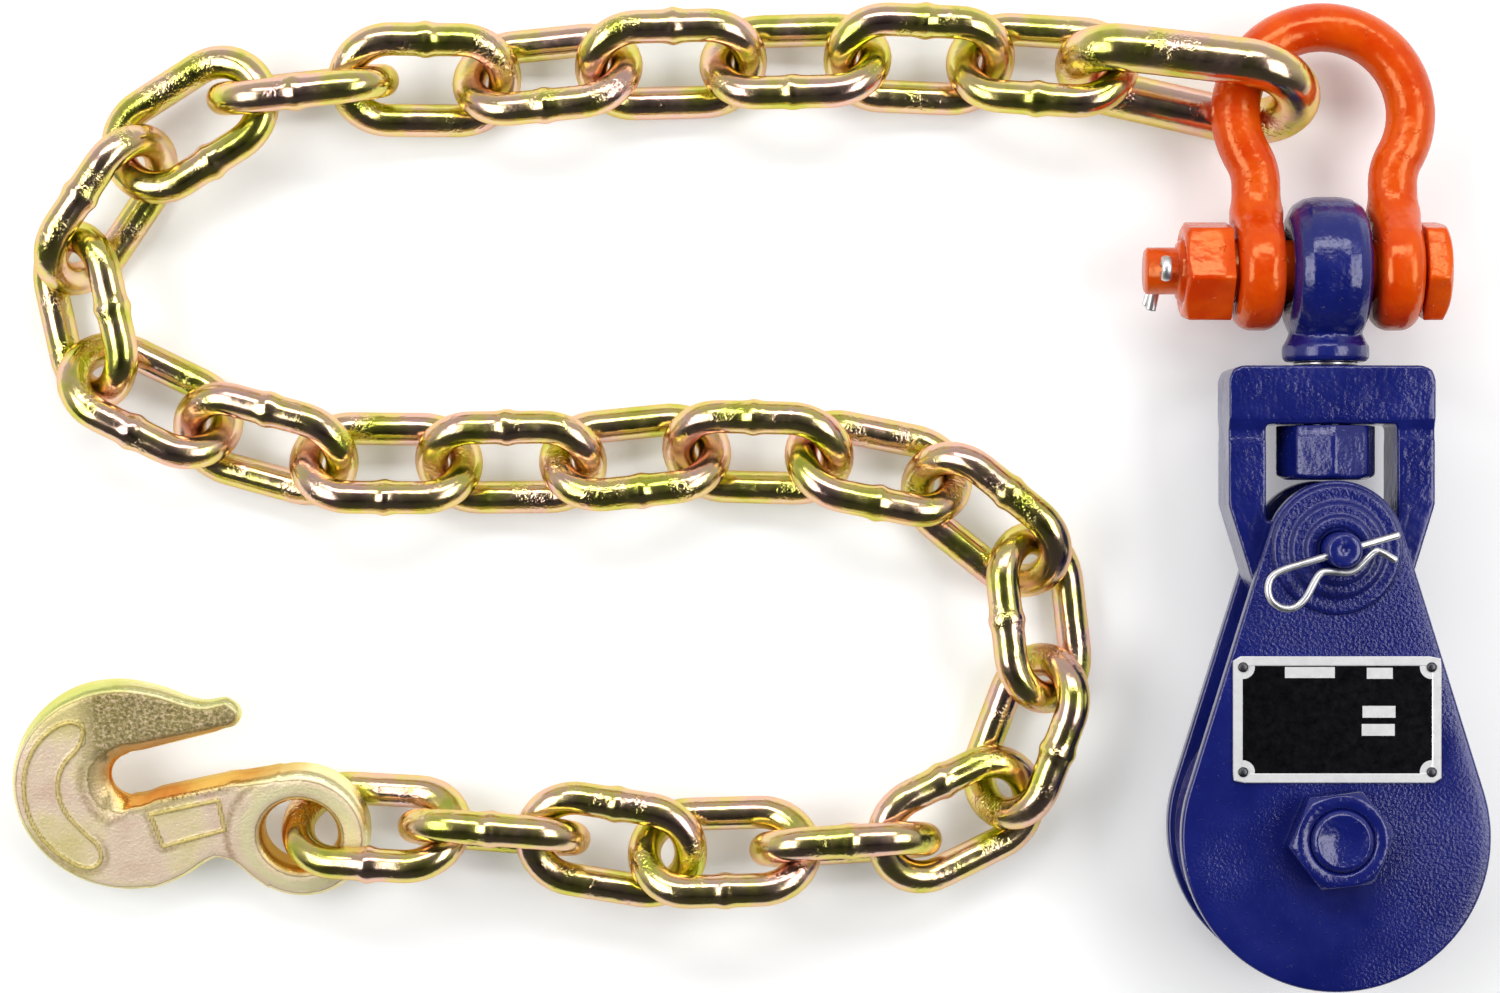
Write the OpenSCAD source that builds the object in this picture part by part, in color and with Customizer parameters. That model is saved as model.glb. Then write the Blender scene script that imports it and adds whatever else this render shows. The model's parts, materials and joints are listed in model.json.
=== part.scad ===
// Pulley block for wire rope with a swivel eye, a bolt-type bow shackle, a pear-shaped end link,
// a welded chain and an eye grab hook. Millimetres. The assembly lies on a flat floor at Z = 0,
// with the pulley's axis along Z through the origin. +X is to the right, +Y towards the eye.

/* [Which part to show] */
// name of one part, or all of them

/* [Sheave and its pin] */
// outside diameter of the sheave
sheave_d = 76.2; // [60:0.1:100]
// diameter of the wire rope that runs in the groove
rope_d = 9.5; // [6:0.5:13]
// thickness of the sheave at its rim
rim_t = 16; // [12:0.5:19]
// diameter of the bolt on which the sheave turns
centre_pin_d = 16; // [12:1:20]
// outside diameter of the bronze bushing
bushing_d = 22; // [20:1:28]
// hexagon nut and head of the centre pin, across flats
centre_nut_af = 23.4; // [20:0.1:27]
// turn of the centre nut about its axis, degrees
centre_nut_turn = 7; // [0:1:59]

/* [Side plates] */
// distance between the two side plates
plate_gap = 22; // [18:0.5:30]
// thickness of a side plate
plate_t = 5; // [3:0.5:8]
// radius of the round lower end of a side plate
plate_low_r = 39.5; // [36:0.5:50]
// radius of the round upper end of a side plate
plate_high_r = 17.6; // [14:0.1:22]
// height of the head pin above the sheave's axis
head_pin_y = 73.5; // [65:0.5:90]
// diameter of the head pin
head_pin_d = 9; // [7:0.5:12]
// radius of the raised boss round the head pin
boss_r = 16.8; // [12:0.1:17.5]
// height of the two steps of that boss together
boss_h = 3; // [1:0.1:5]

/* [Yoke] */
// half of the yoke's width
yoke_half_w = 26.5; // [22:0.1:32]
// half of the window's width
yoke_window_half_w = 16.9; // [16:0.1:20]
// top of the yoke
yoke_top_y = 120.7; // [115:0.1:130]
// top of the window in the yoke
yoke_window_y = 105.6; // [100:0.1:112]
// height at which the straight sides end
yoke_shoulder_y = 84.8; // [80:0.1:92]
// radius of the yoke's boss round the head pin
yoke_boss_r = 22; // [18:0.5:26]
// depth by which the yoke's arms lie below its crossbar
arm_recess = 1; // [0.2:0.1:2]

/* [Swivel eye] */
// diameter of the swivel's shank
shank_d = 13; // [10:0.5:16]
// eight-sided nut on the shank, across flats
swivel_nut_af = 24; // [22:0.5:27]
// diameter of the collar under the eye
collar_d = 22.5; // [18:0.5:26]
// height of the shackle bolt's axis
eye_y = 145.6; // [135:0.1:160]
// outside radius of the eye
eye_r = 19.2; // [16:0.1:24]
// thickness of the eye along the shackle bolt
eye_t = 20; // [14:0.5:21]
// depth of the flare at each end of the eye's bore
eye_flare = 3.4; // [1:0.1:4]

/* [Shackle] */
// diameter of the bow's stock
bow_wire = 12.7; // [10:0.1:16]
// radius of the bow's round part, to the centre of the stock
bow_r = 22.85; // [18:0.05:30]
// height of the bow's centre above the bolt
bow_centre = 41.5; // [35:0.5:55]
// distance between the two ears
ear_gap = 22.7; // [22:0.1:26]
// radius of an ear
ear_r = 15.5; // [12:0.5:18]
// angle by which the crown sinks towards the floor
bow_tilt = 5; // [0:1:10]
// diameter of the shackle bolt
shackle_bolt_d = 16; // [12:0.5:18]
// diameter of the turned-down end of that bolt
bolt_end_d = 12.2; // [10:0.1:14]
// nut and head of the shackle bolt, across flats
shackle_nut_af = 24; // [20:0.5:27]
// angle by which a corner of that nut and head lies below the front, degrees
shackle_nut_turn = 11; // [0:1:59]

/* [Pear-shaped link] */
// diameter of its stock
pear_wire = 12.2; // [10:0.1:16]
// radius of the wide end, to the centre of the stock
pear_wide_r = 14.5; // [12:0.1:20]
// radius of the narrow end, to the centre of the stock
pear_narrow_r = 11.4; // [10:0.1:14]
// length from end to end, to the centre of the stock
pear_length = 57.5; // [45:0.5:80]
// heading, slope and tilt in degrees
pear_dir = [170, -4, -66];
// centre of the stock at the narrow end
pear_tip = [-63.5, 200.3, 17];

/* [Chain] */
// diameter of the chain's stock
wire = 8.7; // [7:0.1:10]
// inside length of a link
link_in_l = 33.4; // [28:0.1:40]
// inside width of a link
link_in_w = 15; // [12:0.1:18]
// height of the weld bead above the stock
bead_h = 0.5; // [0.1:0.05:0.8]
// length of the weld bead
bead_l = 5.2; // [2:0.1:8]
// how each link lies: heading, slope and tilt in degrees, and the gap to the link before it
lay = [
    [175, -10, 34, 1.1], [178, 6, -40, 0.8], [181, -6, 40, 0.5], [182, 6, -40, 0.5],
    [185, -6, 40, 0.5], [180, 10, -34, 0.8], [186, -2, 80, 1.2], [212, -4, 12, 1.2],
    [236, 0, -62, 1.2], [282, -2, 42, 2.0], [334, -4, -40, 1.2], [345, 4, 40, 0.8],
    [359, -4, -40, 0.8], [361, 4, 40, 0.5], [366, -6, -40, 0.5], [359, 8, 40, 0.8],
    [349, -8, -40, 0.8], [321, 2, 40, 0.8], [276, 4, -40, 1.2], [250, -4, 46, 0.8],
    [205, 10, -20, 2.0], [183, 4, -80, 2.5], [182, 0, 38, 1.6], [171, 0, -20, 3.5],
    [176, -2, -80, 2.5], [178, -8, 40, 2.0]
];

/* [Grab hook] */
// radius of the hole in the hook's eye
hook_hole_r = 9.7; // [8:0.1:12]
// outside radius of the hook's eye
hook_eye_r = 18.2; // [15:0.1:20]
// thickness of the hook
hook_t = 10.4; // [8:0.2:13]
// radius of the hook's round back
hook_back_r = 29.3; // [24:0.1:34]
// half of the throat's width
throat_r = 6.1; // [5:0.1:8]
// how the hook lies: tilt about X in degrees
hook_tilt = 20; // [0:1:25]
// centre of the hook's eye from the last link's end, and its height
hook_at = [1, -1.5, 12.4];

/* [Hidden] */
$fn = 48;
// running clearance on a radius, and the gap between faces that pass each other
run = 0.06;
gap = 0.3;
tiny = 0.1;
// a joining piece is thinner by this, and reaches this far into the piece next to it
thinner = 0.02;
reach = 0.4;
// heights of the block's layers
head_h = 8;
z_back = head_h;
z_in = z_back + plate_t;
z_mid = z_in + plate_gap/2;
z_out = z_in + plate_gap;
z_front = z_out + plate_t;
nut_top = z_front + 8.5;
pin_end = nut_top + 1;
washer_t = 1.2;
pin_r = centre_pin_d/2;
groove_r = rope_d/2 + 0.3;
// the tangent lines of a side plate
lean = asin((plate_low_r - plate_high_r)/head_pin_y);
// name plate
label_w = 53;
label_h = 32.2;
label_y = 30.2;
label_t = 1;
label_rim = 2.5;
rivet_x = 24;
rivet_y = 13.35;
rivet_r = 0.9;
// shackle bolt, along X
ear_t = bow_wire + 0.2;
leg_x = ear_gap/2 + ear_t/2;
ear_out = ear_gap/2 + ear_t;
bolt_head_x = ear_out + gap;
bolt_head_l = 6.4;
nut_in_x = -ear_out - 0.8;
nut_l = 12.5;
bolt_tip_x = nut_in_x - nut_l - 9.5;
cotter_x = bolt_tip_x + 4.5;
// the bow's side turns back outwards below its round part
bow_end = 30;
bow_back_r = (bow_r*cos(bow_end) - leg_x)/(1 - cos(bow_end));
bow_back_y = bow_centre - bow_r*sin(bow_end) - bow_back_r*sin(bow_end);
// chain link, to the centre of the stock
link_r = (link_in_w + wire)/2;
link_half = (link_in_l - link_in_w)/2;
apex = link_half + link_r;
// pear-shaped link
pear_c = pear_length - pear_wide_r - pear_narrow_r;
pear_lean = asin((pear_wide_r - pear_narrow_r)/pear_c);
// hairpin wire, seen from the front, and its height above the floor
hairpin_r = 0.95;
hairpin_z = 48.7;
hairpin = [
    [13.8, 77.3], [-16.2, 68.3], [-19, 63.9], [-17, 59.6], [-12.4, 58.6], [-9, 61.6],
    [-5.8, 67.9], [2, 67.3], [8.2, 73.6], [13.1, 71]
];
cotter_r = 0.75;
names = ["front_side_plate", "back_side_plate", "sheave", "sheave_bushing", "thrust_washers",
    "centre_pin", "centre_pin_nut", "head_pin", "hairpin", "yoke", "swivel_eye", "swivel_nut",
    "swivel_washer", "name_plate", "name_plate_rivets", "shackle_bow", "shackle_bolt",
    "shackle_nut", "shackle_cotter", "pear_link", "grab_hook"];
links = [for (i = [1:len(lay)]) str("chain_link_", i < 10 ? "0" : "", i)];

// directions of a link that lies at row r: along it, and across it
function unit(v) = v/norm(v);
function along(r) = [cos(r[0])*cos(r[1]), sin(r[0])*cos(r[1]), sin(r[1])];
function left(r) = [-sin(r[0]), cos(r[0]), 0];
function across(r) = left(r)*cos(r[2]) + cross(along(r), left(r))*sin(r[2]);
// direction from the end of the link before, through the place where the two bear on each other
function bearing(f, r) =
    let (c = unit(cross(f[2], across(r))), m = unit(f[1] + along(r)))
    unit((c*m < 0 ? -c : c) + m);
// a frame is [far end, along, across, radius of stock, centre]
function next(f, r) =
    let (b = f[0] - (f[3] + wire/2 + r[3])*bearing(f, r))
    [b + 2*apex*along(r), along(r), across(r), wire/2, b + apex*along(r)];
function follow(f, i) =
    i == len(lay) ? [] : let (g = next(f, lay[i])) concat([g], follow(g, i + 1));
frames = follow([pear_tip, along(pear_dir), across(pear_dir), pear_wire/2], 0);

module place(p, u, v)
    let (w = cross(u, v))
    multmatrix([[u[0], v[0], w[0], p[0]], [u[1], v[1], w[1], p[1]], [u[2], v[2], w[2], p[2]]])
    children();

module along_x(x, y, z) translate([x, y, z]) rotate([0, 90, 0]) children();

module nut_blank(af, h, chamfer, sides = 6) {
    r = af/2/cos(180/sides);
    intersection() {
        cylinder(h = h, r = r, $fn = sides);
        union() {
            cylinder(h = h - chamfer, r = r);
            translate([0, 0, h - chamfer])
                cylinder(h = chamfer, r1 = r, r2 = r - 1.8*chamfer);
        }
    }
}

module rod(a, b, r)
    translate(a)
    rotate([0, acos((b[2] - a[2])/norm(b - a)), atan2(b[1] - a[1], b[0] - a[0])])
    cylinder(h = norm(b - a), r = r);

module bent_wire(p, r) {
    for (i = [1:len(p) - 1])
        rod(p[i - 1], p[i], r);
    for (i = [1:len(p) - 2])
        translate(p[i]) sphere(r = r + 2*thinner);
}

// a wire bent in one plane at z = 0, with a round elbow at each point between its ends
function heading(a, b) = atan2(b[1] - a[1], b[0] - a[0]);
function ahead(a, b) = [cos(heading(a, b)), sin(heading(a, b)), 0];
function swing(a, b, c) = (heading(b, c) - heading(a, b) + 540) % 360 - 180;

module flat_wire(p, r, elbow) {
    last = len(p) - 1;
    over = 0.3;
    swings = [for (i = [1:last - 1]) swing(p[i - 1], p[i], p[i + 1])];
    // what each elbow takes off the straight pieces beside it
    cut = concat(over, [for (s = swings) elbow*tan(abs(s)/2)], over);
    for (i = [1:last]) {
        u = ahead(p[i - 1], p[i]);
        rod(concat(p[i - 1], 0) + (cut[i - 1] - over)*u, concat(p[i], 0) - (cut[i] - over)*u,
            r - thinner);
    }
    for (i = [1:last - 1]) {
        s = swings[i - 1];
        h = heading(p[i - 1], p[i]);
        side = s < 0 ? -1 : 1;
        translate(concat(p[i], 0) - cut[i]*ahead(p[i - 1], p[i]) + elbow*side*[-sin(h), cos(h), 0])
            rotate([0, 0, side > 0 ? h - 90 : h + 90 + s])
            rotate_extrude(angle = abs(s)) translate([elbow, 0]) circle(r = r);
    }
}

// block

module plate_blank(z) translate([0, 0, z]) {
    cylinder(h = plate_t, r = plate_low_r);
    translate([0, head_pin_y, 0]) cylinder(h = plate_t, r = plate_high_r);
    linear_extrude(plate_t) polygon([
        [plate_low_r*cos(lean), plate_low_r*sin(lean)],
        [plate_high_r*cos(lean), head_pin_y + plate_high_r*sin(lean)],
        [-plate_high_r*cos(lean), head_pin_y + plate_high_r*sin(lean)],
        [-plate_low_r*cos(lean), plate_low_r*sin(lean)]]);
}

// stepped boss and textured collar round the head pin, standing on z = 0
module boss() rotate_extrude() polygon([
    [0, -tiny], [boss_r, -tiny], [boss_r, 0.4], [boss_r - 1.1, boss_h/2], [12.6, boss_h/2],
    [11.6, boss_h], [9, boss_h], [8.6, boss_h + 1], [7.8, boss_h + 1.5], [6.4, boss_h + 1.5],
    [5.75, boss_h + 0.8], [0, boss_h + 0.8]]);

module front_side_plate() color([0.07, 0.07, 0.3]) difference() {
    union() {
        plate_blank(z_out);
        translate([0, head_pin_y, z_front]) boss();
    }
    translate([0, 0, z_out - 1]) cylinder(h = plate_t + 2, r = pin_r + tiny);
    translate([0, head_pin_y, z_out - 1]) cylinder(h = 15, r = head_pin_d/2 + run);
    rivet_places() cylinder(h = 4, r = rivet_r*0.8);
}

module back_side_plate() color([0.07, 0.07, 0.3]) difference() {
    union() {
        plate_blank(z_back);
        translate([0, head_pin_y, z_back]) mirror([0, 0, 1]) boss();
    }
    translate([0, 0, z_back - 1]) cylinder(h = plate_t + 2, r = pin_r + tiny);
    translate([0, head_pin_y, -1]) cylinder(h = 15, r = head_pin_d/2 + run);
}

module sheave() color([0.1, 0.1, 0.33]) translate([0, 0, z_mid]) rotate_extrude() difference() {
    r = sheave_d/2;
    hub = plate_gap/2 - washer_t - 0.2;
    polygon([
        [bushing_d/2, -hub], [bushing_d/2 + 5, -hub], [bushing_d/2 + 6, -4.5], [25, -4.5],
        [27.5, -rim_t/2], [r - 0.8, -rim_t/2], [r, 0.8 - rim_t/2], [r, rim_t/2 - 0.8],
        [r - 0.8, rim_t/2], [27.5, rim_t/2], [25, 4.5], [bushing_d/2 + 6, 4.5],
        [bushing_d/2 + 5, hub], [bushing_d/2, hub]]);
    translate([r - 3.2, 0]) circle(r = groove_r);
    polygon([[r - 3.2, -groove_r], [r + 1, -groove_r - 1.2], [r + 1, groove_r + 1.2],
        [r - 3.2, groove_r]]);
}

module sheave_bushing() color([0.72, 0.5, 0.2]) translate([0, 0, z_in + washer_t + 0.2])
    difference() {
        cylinder(h = plate_gap - 2*washer_t - 0.4, r = bushing_d/2);
        translate([0, 0, -1]) cylinder(h = plate_gap, r = pin_r + run);
    }

module thrust_washers() color([0.72, 0.5, 0.2])
    for (z = [z_in, z_out - washer_t])
        translate([0, 0, z]) difference() {
            cylinder(h = washer_t, r = bushing_d/2 + 4.5);
            translate([0, 0, -1]) cylinder(h = washer_t + 2, r = pin_r + tiny);
        }

module centre_pin() color([0.07, 0.07, 0.3]) {
    translate([0, 0, head_h]) rotate([180, 0, centre_nut_turn])
        nut_blank(centre_nut_af, head_h, 1);
    translate([0, 0, head_h - tiny]) cylinder(h = pin_end - head_h + tiny - 1.2, r = pin_r);
    translate([0, 0, pin_end - 1.2]) cylinder(h = 1.2, r1 = pin_r, r2 = pin_r - 1.35);
}

module centre_pin_nut() color([0.07, 0.07, 0.3]) difference() {
    translate([0, 0, z_front]) rotate([0, 0, centre_nut_turn])
        nut_blank(centre_nut_af, nut_top - z_front, 1.1);
    cylinder(h = 60, r = pin_r + run);
}

module head_pin() color([0.07, 0.07, 0.3]) difference() {
    translate([0, head_pin_y, 0]) {
        cylinder(h = 3.2, r = 7.6);
        cylinder(h = 51, r = head_pin_d/2);
        translate([0, 0, 51]) cylinder(h = 1, r1 = head_pin_d/2, r2 = head_pin_d/2 - 0.8);
    }
    rod(concat(hairpin[0], hairpin_z), concat(hairpin[1], hairpin_z), hairpin_r + tiny);
}

module hairpin() color([0.8, 0.8, 0.8]) translate([0, 0, hairpin_z])
    flat_wire(hairpin, hairpin_r, 3);

module rivet_places()
    for (x = [-rivet_x, rivet_x], y = [-rivet_y, rivet_y])
        translate([x, label_y + y, z_front - 3]) children();

module name_plate() color([0.75, 0.75, 0.76]) difference() {
    union() {
        translate([-label_w/2, label_y - label_h/2, z_front]) cube([label_w, label_h, 0.8]);
        difference() {
            translate([-label_w/2, label_y - label_h/2, z_front])
                cube([label_w, label_h, label_t]);
            translate([label_rim - label_w/2, label_y - label_h/2 + label_rim, z_front + 0.8])
                cube([label_w - 2*label_rim, label_h - 2*label_rim, 1]);
        }
        rivet_places() translate([0, 0, 3]) cylinder(h = label_t, r = 2.4);
    }
    rivet_places() cylinder(h = 9, r = rivet_r*0.8);
}

module name_plate_rivets() color([0.8, 0.8, 0.8]) rivet_places() {
    cylinder(h = 3 + label_t + tiny, r = rivet_r*0.7);
    translate([0, 0, 3 + label_t]) cylinder(h = 0.5, r1 = rivet_r*1.3, r2 = rivet_r*0.8);
}

// yoke and swivel

module yoke() color([0.07, 0.07, 0.3]) {
    h = plate_gap - 2*gap;
    c = 3.4;
    // where the line from the shoulder touches the boss
    d = norm([yoke_half_w, yoke_shoulder_y - head_pin_y]);
    t = atan2(yoke_shoulder_y - head_pin_y, yoke_half_w) - acos(yoke_boss_r/d);
    difference() {
        translate([0, 0, z_in + gap]) union() {
            translate([0, head_pin_y, 0]) cylinder(h = h, r = yoke_boss_r);
            linear_extrude(h) polygon([
                [-yoke_boss_r*cos(t), head_pin_y + yoke_boss_r*sin(t)],
                [yoke_boss_r*cos(t), head_pin_y + yoke_boss_r*sin(t)],
                [yoke_half_w, yoke_shoulder_y], [yoke_half_w, yoke_top_y - c],
                [yoke_half_w - 0.29*c, yoke_top_y - 0.29*c], [yoke_half_w - c, yoke_top_y],
                [c - yoke_half_w, yoke_top_y], [0.29*c - yoke_half_w, yoke_top_y - 0.29*c],
                [-yoke_half_w, yoke_top_y - c], [-yoke_half_w, yoke_shoulder_y]]);
        }
        difference() {
            translate([-yoke_window_half_w, yoke_shoulder_y - 4, 0])
                cube([2*yoke_window_half_w, yoke_window_y - yoke_shoulder_y + 4, 60]);
            translate([0, head_pin_y, -1]) cylinder(h = 62, r = 14);
        }
        // the arms are thinner than the crossbar, which slopes down to them
        for (s = [0, 1])
            translate([-40, 0, z_mid]) mirror([0, 0, s]) rotate([90, 0, 90]) linear_extrude(80)
                polygon([[yoke_window_y + 1.6, h/2 + tiny], [yoke_window_y - 1.8, h/2 - 1.6],
                    [yoke_window_y - 5, h/2 - arm_recess], [head_pin_y - 30, h/2 - arm_recess],
                    [head_pin_y - 30, h/2 + tiny]]);
        translate([0, head_pin_y, -1]) cylinder(h = 60, r = head_pin_d/2 + run);
        translate([0, yoke_window_y - 2, z_mid]) rotate([-90, 0, 0])
            cylinder(h = 20, r = shank_d/2 + run);
    }
}

module swivel_eye() color([0.07, 0.07, 0.3]) {
    neck_y = yoke_top_y + 1.2;
    difference() {
        union() {
            // eye with rounded edges
            along_x(0, eye_y, z_mid) rotate_extrude() polygon([
                [0, -eye_t/2], [eye_r - 5.2, -eye_t/2], [eye_r - 2.2, 1.3 - eye_t/2],
                [eye_r - 0.5, 4 - eye_t/2], [eye_r, 7 - eye_t/2], [eye_r, eye_t/2 - 7],
                [eye_r - 0.5, eye_t/2 - 4], [eye_r - 2.2, eye_t/2 - 1.3],
                [eye_r - 5.2, eye_t/2], [0, eye_t/2]]);
            // collar and neck
            translate([0, neck_y, z_mid]) rotate([-90, 0, 0]) rotate_extrude() polygon([
                [0, 0], [collar_d/2 - 1, 0], [collar_d/2, 1], [collar_d/2, 4],
                [collar_d/2 - 0.8, 5.2], [9.6, 7], [9.2, 10], [0, 10]]);
        }
        along_x(-30, eye_y, z_mid) cylinder(h = 60, r = shackle_bolt_d/2 + run);
        for (s = [0, 1]) mirror([s, 0, 0])
            along_x(eye_t/2 - eye_flare, eye_y, z_mid)
                cylinder(h = eye_flare + 0.4, r1 = shackle_bolt_d/2 - tiny,
                    r2 = shackle_bolt_d/2 + eye_flare + 0.4);
    }
    // shank down into the nut
    translate([0, yoke_window_y - 13.8, z_mid]) rotate([-90, 0, 0])
        cylinder(h = neck_y - yoke_window_y + 14, r = shank_d/2);
}

module swivel_nut() color([0.07, 0.07, 0.3]) difference() {
    translate([0, yoke_window_y - gap, z_mid]) rotate([90, 0, 0])
        nut_blank(swivel_nut_af, 14, 1.6, 8);
    translate([0, yoke_window_y - 20, z_mid]) rotate([-90, 0, 0])
        cylinder(h = 30, r = shank_d/2 + run);
}

module swivel_washer() color([0.7, 0.7, 0.7]) difference() {
    translate([0, yoke_top_y + 0.1, z_mid]) rotate([-90, 0, 0]) cylinder(h = 1.05, r = 8.25);
    translate([0, yoke_top_y - 1, z_mid]) rotate([-90, 0, 0])
        cylinder(h = 4, r = shank_d/2 + run);
}

// shackle

module shackle_bow() color([0.9, 0.28, 0.05])
    translate([0, eye_y, z_mid]) rotate([-bow_tilt, 0, 0]) {
        r = bow_wire/2;
        over = reach/bow_back_r*180/PI;
        translate([0, bow_centre, 0]) rotate([0, 0, -bow_end])
            rotate_extrude(angle = 180 + 2*bow_end) translate([bow_r, 0]) circle(r = r);
        difference() {
            for (s = [0, 1]) mirror([s, 0, 0]) {
                translate([leg_x + bow_back_r, bow_back_y, 0])
                    rotate([0, 0, 180 - bow_end - over])
                    rotate_extrude(angle = bow_end + 2*over)
                    translate([bow_back_r, 0]) circle(r = r - thinner);
                translate([leg_x, 0, 0]) rotate([-90, 0, 0])
                    cylinder(h = bow_back_y, r = r);
                // ear with rounded edges
                along_x(ear_gap/2, 0, 0) rotate_extrude() polygon([
                    [0, 0], [ear_r - 5, 0], [ear_r - 2, 1.4], [ear_r, 4.6],
                    [ear_r, ear_t - 4.6], [ear_r - 2, ear_t - 1.4], [ear_r - 5, ear_t],
                    [0, ear_t]]);
            }
            along_x(-40, 0, 0) cylinder(h = 80, r = shackle_bolt_d/2 + run);
        }
    }

module shackle_bolt() color([0.9, 0.28, 0.05]) difference() {
    union() {
        translate([bolt_head_x, eye_y, z_mid]) rotate([shackle_nut_turn, 0, 0]) rotate([0, 90, 0])
            nut_blank(shackle_nut_af, bolt_head_l, 1.2);
        along_x(nut_in_x - nut_l - 1.2, eye_y, z_mid)
            cylinder(h = bolt_head_x - nut_in_x + nut_l + 1.3, r = shackle_bolt_d/2);
        along_x(bolt_tip_x + 0.6, eye_y, z_mid) cylinder(h = 12, r = bolt_end_d/2);
        along_x(bolt_tip_x, eye_y, z_mid)
            cylinder(h = 0.6, r1 = bolt_end_d/2 - 0.6, r2 = bolt_end_d/2);
    }
    translate([cotter_x, eye_y, 0]) cylinder(h = 60, r = 2*cotter_r + 2*tiny);
}

module shackle_nut() color([0.9, 0.28, 0.05]) difference() {
    translate([nut_in_x, eye_y, z_mid]) rotate([shackle_nut_turn, 0, 0]) rotate([0, -90, 0])
        nut_blank(shackle_nut_af, nut_l, 1.5);
    along_x(-50, eye_y, z_mid) cylinder(h = 40, r = shackle_bolt_d/2 + run);
}

// a loop in front of the bolt, and two legs bent down behind it, one behind the other
module shackle_cotter() color([0.8, 0.8, 0.8]) translate([cotter_x, eye_y, 0]) {
    front = z_mid + bolt_end_d/2;
    back = z_mid - bolt_end_d/2;
    d = cotter_r + tiny;
    bent_wire([[-1.8, -9.6, back - 1.8], [-0.2, -1.6, back - 1.6], [0, -d, back],
        [0, -d, front + 0.4], [0, -2.5, front + 1.9], [0, -2.7, front + 3.9],
        [0, 0, front + 5.3], [0, 2.7, front + 3.9], [0, 2.5, front + 1.9],
        [0, d, front + 0.4], [0, d, back - 2], [-0.4, -1, back - 3.6],
        [-2.7, -8.4, back - 3.6]], cotter_r);
}

// chain

module pear_link() color([0.75, 0.65, 0.35]) place(pear_tip, along(pear_dir), across(pear_dir)) {
    r = pear_wire/2;
    c = [-pear_narrow_r, 0, 0];
    b = [-pear_narrow_r - pear_c, 0, 0];
    translate(c) rotate([0, 0, pear_lean - 90])
        rotate_extrude(angle = 180 - 2*pear_lean) translate([pear_narrow_r, 0]) circle(r = r);
    translate(b) rotate([0, 0, 90 - pear_lean])
        rotate_extrude(angle = 180 + 2*pear_lean) translate([pear_wide_r, 0]) circle(r = r);
    for (s = [-1, 1]) {
        n = [sin(pear_lean), s*cos(pear_lean), 0];
        t = [cos(pear_lean), -s*sin(pear_lean), 0];
        rod(b + pear_wide_r*n - reach*t, c + pear_narrow_r*n + reach*t, r - thinner);
    }
}

// one half of a link in its own frame: a straight leg and a round end
module link_half() {
    translate([link_half, 0, 0]) rotate([0, 0, -90])
        rotate_extrude(angle = 180) translate([link_r, 0]) circle(r = wire/2);
    along_x(-link_half, link_r, 0) cylinder(h = 2*link_half, r = wire/2);
}

module chain_link(f, up) color([0.75, 0.65, 0.35]) place(f[4], f[1], f[2]) {
    link_half();
    rotate([0, 0, 180]) link_half();
    // weld bead in the middle of the upper leg
    along_x(-bead_l/2, up*link_r, 0) rotate_extrude() polygon([
        [0, 0], [wire/2, 0], [wire/2 + bead_h, bead_l*0.3], [wire/2 + bead_h, bead_l*0.7],
        [wire/2, bead_l], [0, bead_l]]);
}

// grab hook, in the frame of its eye

module hook_slab(z, h, e) translate([0, 0, z]) linear_extrude(h) {
    difference() {
        translate([-45.5, 13]) circle(r = hook_back_r - e);
        translate([-42.8, 15.8]) circle(r = throat_r + e);
        polygon([[-43.5, 22 + e], [-30, 25.6 + e], [-10, 31 + e], [-8, 20], [-20, 15.3 - e],
            [-44, 9.8 - e]]);
    }
    // beak
    polygon([[-48, 21.8 + e], [-43.8, 21.7 + e], [-35, 24.4 + e], [-22.4, 27.9 + e],
        [-16.8, 29.9 + e], [-18, 36.9 - e], [-24.5, 36.9 - e], [-29.5, 37.6 - e],
        [-35, 39 - e], [-48, 38]]);
    translate([-17.6, 33.4]) circle(r = 3.6 - e);
    // shank
    polygon([[-46, 9.4 - e], [-20, 15.3 - e], [-5, 17.7 - e], [0, 10], [-9, e - 15.6],
        [-14, e - 12], [-18.3, e - 8], [-22.7, e - 6.7], [-27.7, e - 7.5], [-32.7, e - 10.4],
        [-39.5, e - 14.6], [-48, -5]]);
}

module grab_hook()
    translate([frames[len(lay) - 1][0][0] + hook_at[0],
        frames[len(lay) - 1][0][1] + hook_at[1], hook_at[2]])
    color([0.75, 0.65, 0.35]) rotate([hook_tilt, 0, 0]) {
        m = (hook_hole_r + hook_eye_r)/2;
        difference() {
            union() {
                hook_slab(-3, 6, 0);
                hook_slab(-hook_t/2, hook_t, 1.8);
            }
            cylinder(h = 20, r = m, center = true);
        }
        // eye with round edges
        rotate_extrude() polygon([
            [hook_hole_r, -1.6], [hook_hole_r + 1, -3.8], [hook_hole_r + 3, -hook_t/2],
            [hook_eye_r - 3, -hook_t/2], [hook_eye_r - 1, -3.8], [hook_eye_r, -1.6],
            [hook_eye_r, 1.6], [hook_eye_r - 1, 3.8], [hook_eye_r - 3, hook_t/2],
            [hook_hole_r + 3, hook_t/2], [hook_hole_r + 1, 3.8], [hook_hole_r, 1.6]]);
    }

front_side_plate();
back_side_plate();
sheave();
sheave_bushing();
thrust_washers();
centre_pin();
centre_pin_nut();
head_pin();
hairpin();
yoke();
swivel_eye();
swivel_nut();
swivel_washer();
name_plate();
name_plate_rivets();
shackle_bow();
shackle_bolt();
shackle_nut();
shackle_cotter();
pear_link();
grab_hook();
for (i = [0:len(lay) - 1])
    chain_link(frames[i], lay[i][2] < 0 ? -1 : 1);
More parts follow.
